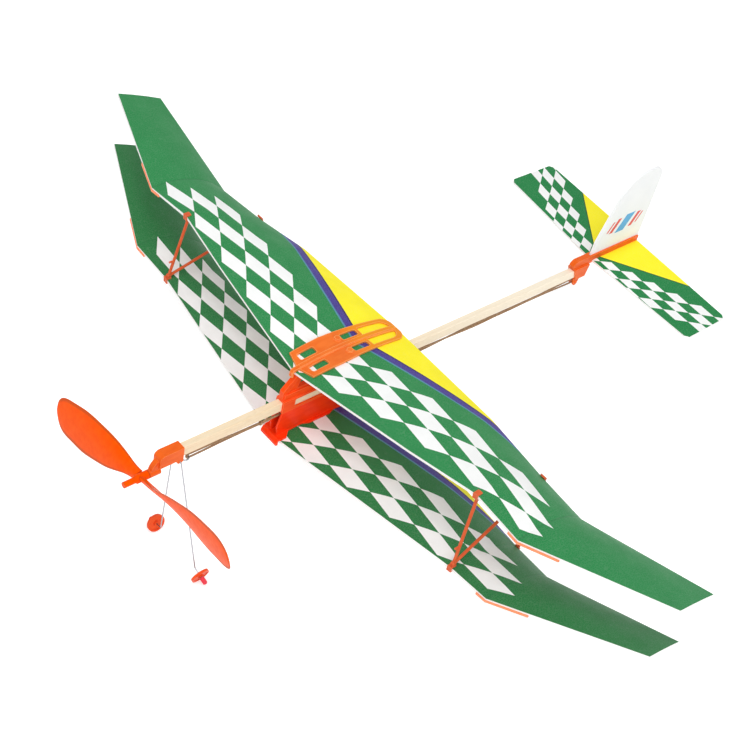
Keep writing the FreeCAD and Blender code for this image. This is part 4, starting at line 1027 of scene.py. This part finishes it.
@dataclass
class Dressing:
    """Gives the parts that keep their own shape their finishes."""

    upper: PrintedFoam = PrintedFoam(
        "upper_wing_foam",
        rows=Lattice(18.05, -0.01527, -0.11967, -0.000061, 0.00621, -0.000036),
        columns=Lattice(-1.342, -0.0569, 0.06455, 0.000105, -0.00529, 0.000046),
        band=(139.4, 0.25, 2.5e-6), panel=(144.0, 0.27, 0.5e-6), limit=35.7, crease=148.0)
    lower: PrintedFoam = PrintedFoam(
        "lower_wing_foam",
        rows=Lattice(15.81, -0.0197, -0.11094, 0.000002, 0.00602, -0.000045),
        columns=Lattice(-0.131, -0.05497, 0.05997, 0.000073, -0.00461, 0.000045),
        band=(130.8, 0.225, 2.5e-6), panel=(137.8, 0.213, 0.5e-6), limit=28.7, crease=148.0,
        # The lower wing's darker field and lozenge inks are painted shade, for the upper wing above
        # it.
        field_ink=tone(34, 114, 58), lozenge_ink=tone(238, 236, 236))
    tail: PrintedFoam = PrintedFoam(
        "tailplane_foam",
        rows=Lattice(-50.267, 0.0045, 0.1502, -0.00013, 0.0014, 0.00006),
        columns=Lattice(25.751, 0.1266, -0.0743, -0.0002, -0.0059, 0.00003),
        band=(343.0, 0.79, 0.0), panel=(343.0, 0.79, 0.0), wear=0.06,
        field_ink=tone(4, 124, 60), hairline_ink=tone(24, 92, 44), seam_ink=tone(24, 92, 44))
    orange: MouldedPlastic = MouldedPlastic(
        "moulded_orange", tone(236, 102, 32), tone(224, 84, 20), tone(255, 150, 84))
    tips: MouldedPlastic = MouldedPlastic(
        "moulded_tip_braces", tone(255, 156, 112), tone(250, 138, 92), tone(240, 100, 52),
        edge_paint_share=0.9, reach=0.3)
    pale: MouldedPlastic = MouldedPlastic(
        "moulded_pale_orange", tone(238, 118, 46), tone(226, 98, 32), tone(255, 182, 112),
        edge_paint_share=0.8, reach=1.0, painted_glow_through=tone(238, 146, 16))
    bright: MouldedPlastic = MouldedPlastic(
        "moulded_bright_orange", tone(246, 82, 24), tone(232, 62, 12), tone(255, 140, 90))
    struts: MouldedPlastic = MouldedPlastic(
        "moulded_struts", tone(214, 96, 56), tone(200, 80, 44), tone(230, 130, 96))
    # Painted shade: a redder copy of the orange, for the holder and keel in the upper wing's shade.
    deep: MouldedPlastic = MouldedPlastic(
        "moulded_shaded_orange", tone(250, 58, 14), tone(238, 40, 8), tone(255, 96, 50))
    blades: MouldedPlastic = MouldedPlastic(
        "moulded_blades", tone(252, 90, 0), tone(244, 74, 0), tone(196, 78, 26),
        edge_paint_share=0.85, reach=1.6, roughen=0.04, sheen=tone(255, 150, 70), index=1.28)
    wheels: MouldedPlastic = MouldedPlastic(
        "moulded_wheels", tone(236, 86, 40), tone(224, 66, 26), tone(196, 60, 28))
    caps: MouldedPlastic = MouldedPlastic(
        "moulded_caps", tone(226, 66, 84), tone(206, 44, 64), tone(236, 110, 120))
    birch: BirchStick = BirchStick()
    wire: SpringWire = SpringWire()
    fin: FinFoam = FinFoam()
    wears: dict[str, tuple[str, ...]] = field(default_factory=lambda: {
        "upper": ("upper_wing",), "lower": ("lower_wing",), "tail": ("horizontal_stabilizer",),
        "orange": ("nose_bearing", "tail_mount"),
        "tips": ("tip_brace_upper_port", "tip_brace_upper_starboard",
                 "tip_brace_lower_port", "tip_brace_lower_starboard"),
        "pale": ("upper_wing_saddle",), "bright": ("cabane",),
        "struts": ("interplane_strut_port", "interplane_strut_starboard"),
        "deep": ("lower_wing_holder", "lower_wing_keel"),
        "blades": ("propeller",), "wheels": ("wheel_port", "wheel_starboard"),
        "caps": ("wheel_retainer_port", "wheel_retainer_starboard"),
        "birch": ("fuselage_stick",), "wire": ("prop_shaft", "landing_gear_wire"),
        "fin": ("vertical_fin",)})

    def build(self) -> None:
        """Builds each finish once and puts it on its parts."""
        for finish, nodes in self.wears.items():
            material = getattr(self, finish).build()
            for node in nodes:
                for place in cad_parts[node].material_slots:
                    place.material = material
                log.info("%s wears %s", node, material.name)


# ---------------------------------------------------------------- the set

def seen(graph: Graph, *rays: str) -> Term:
    """Finds how a surface or the surround is looked at.

    Args:
        graph: the tree that asks.
        rays: the kinds of ray that count.

    Returns:
        1 for a ray of one of those kinds, else 0.
    """
    path = graph.node("ShaderNodeLightPath")
    found = graph.term(path, f"Is {rays[0]} Ray")
    for ray in rays[1:]:
        found = graph.maths("MAXIMUM", found, graph.term(path, f"Is {ray} Ray"))
    return found


@dataclass(frozen=True)
class Lamp:
    """A round soft lamp that points at the target; its place is counted from there."""

    name: str
    spot: Triple
    size: float
    watts: float


@dataclass
class Studio:
    """A pale floor, soft light and the camera."""

    azimuth: float = 39.91
    elevation: float = 42.26
    roll: float = 14.08
    distance: float = 0.6914
    target: Vector = field(default_factory=lambda: Vector((0.0, 0.16173, -0.00412)))
    lens: float = 60.0
    sensor: float = 36.0
    clip: tuple[float, float] = (0.01, 20.0)
    floor_half: float = 6.0
    floor_gap: float = 0.0005
    floor_glow: float = 0.28
    surround: float = 0.58
    surround_seen: float = 0.42
    lamps: tuple[Lamp, ...] = (Lamp("key", (0.35, -0.65, 1.5), 1.2, 14.0),
                               Lamp("fill", (1.25, -0.3, 0.55), 1.0, 4.5))

    def floor(self) -> None:
        """Lays a wide pale floor under the wheels."""
        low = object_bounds()[0][2]
        shape = bmesh.new()
        bmesh.ops.create_grid(shape, x_segments=1, y_segments=1, size=self.floor_half)
        for vertex in shape.verts:
            vertex.co.z = low - self.floor_gap
        mesh = bpy.data.meshes.new("floor")
        shape.to_mesh(mesh)
        shape.free()
        material = bpy.data.materials.new("floor_paper")
        material.use_nodes = True
        graph = Graph(material.node_tree)
        shader = material.node_tree.nodes["Principled BSDF"]
        graph.fill(shader, {"Base Color": WHITE, "Roughness": 0.9, "Specular IOR Level": 0.0,
                            "Emission Color": WHITE,
                            "Emission Strength": seen(graph, "Camera", "Glossy") * self.floor_glow})
        shown(mesh, "floor", material)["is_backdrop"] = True

    def light(self) -> None:
        """Sets an even white surround, a broad key ahead and above, and a weak fill to port."""
        world = bpy.data.worlds.new("surround")
        bpy.context.scene.world = world
        world.use_nodes = True
        graph = Graph(world.node_tree)
        looked_at = seen(graph, "Camera", "Transmission", "Glossy")
        graph.fill(world.node_tree.nodes["Background"], {
            "Strength": looked_at * self.surround_seen + self.surround, "Color": WHITE})
        for lamp in self.lamps:
            bulb = bpy.data.lights.new(lamp.name, "AREA")
            bulb.shape, bulb.size, bulb.energy = "DISK", lamp.size, lamp.watts
            holder = bpy.data.objects.new(lamp.name, bulb)
            holder.location = Vector(lamp.spot) + self.target
            aim = self.target - holder.location
            holder.rotation_euler = aim.to_track_quat("-Z", "Y").to_euler()
            bpy.context.scene.collection.objects.link(holder)

    def camera(self) -> None:
        """Places the camera from its bearing, height and roll."""
        turn, lift, roll = (math.radians(v) for v in (self.azimuth, self.elevation, self.roll))
        back = Vector((math.sin(turn) * math.cos(lift), -math.cos(turn) * math.cos(lift),
                       math.sin(lift)))
        level = Vector((math.cos(turn), math.sin(turn), 0.0))
        upright = back.cross(level)
        right = level * math.cos(roll) + upright * math.sin(roll)
        up = upright * math.cos(roll) - level * math.sin(roll)
        spot = self.target + back * self.distance
        lens = bpy.data.cameras.new("camera")
        lens.lens, lens.sensor_width = self.lens, self.sensor
        lens.clip_start, lens.clip_end = self.clip
        holder = bpy.data.objects.new("camera", lens)
        rows = [(*values,) for values in zip(right, up, back, spot)]
        holder.matrix_world = Matrix((*rows, (0, 0, 0, 1)))
        bpy.context.scene.collection.objects.link(holder)
        bpy.context.scene.camera = holder

    def build(self) -> None:
        """Sets the whole stage."""
        bpy.context.scene.view_settings.view_transform = "Standard"
        self.camera()
        self.floor()
        self.light()
        log.info("camera at %s",
                 tuple(round(v, 4) for v in bpy.context.scene.camera.location))


def main() -> None:
    """Builds the set, the finishes and the rubber motor."""
    logging.basicConfig(level=logging.INFO, format="%(name)s: %(message)s")
    Studio().build()
    for effect in (moulded_skin, foam_cells, wood_grain, fine_scuffs, check_print):
        effect()
    Dressing().build()
    # The hook's bend has its middle a wire's radius inside the shaft's box. The peg's middle is
    # its radius, a small clearance and the band's thickness inside the box of the rubber.
    hook_wire, peg_reach = 0.45, 1.75
    hook = Vector((0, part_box("prop_shaft")[1].y - hook_wire * MM, 0))
    peg = Vector((0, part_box("rubber_motor")[1].y - peg_reach * MM, 0))
    RubberMotor(RubberStrip(), hook, peg).build()


if __name__ == "__main__":
    main()
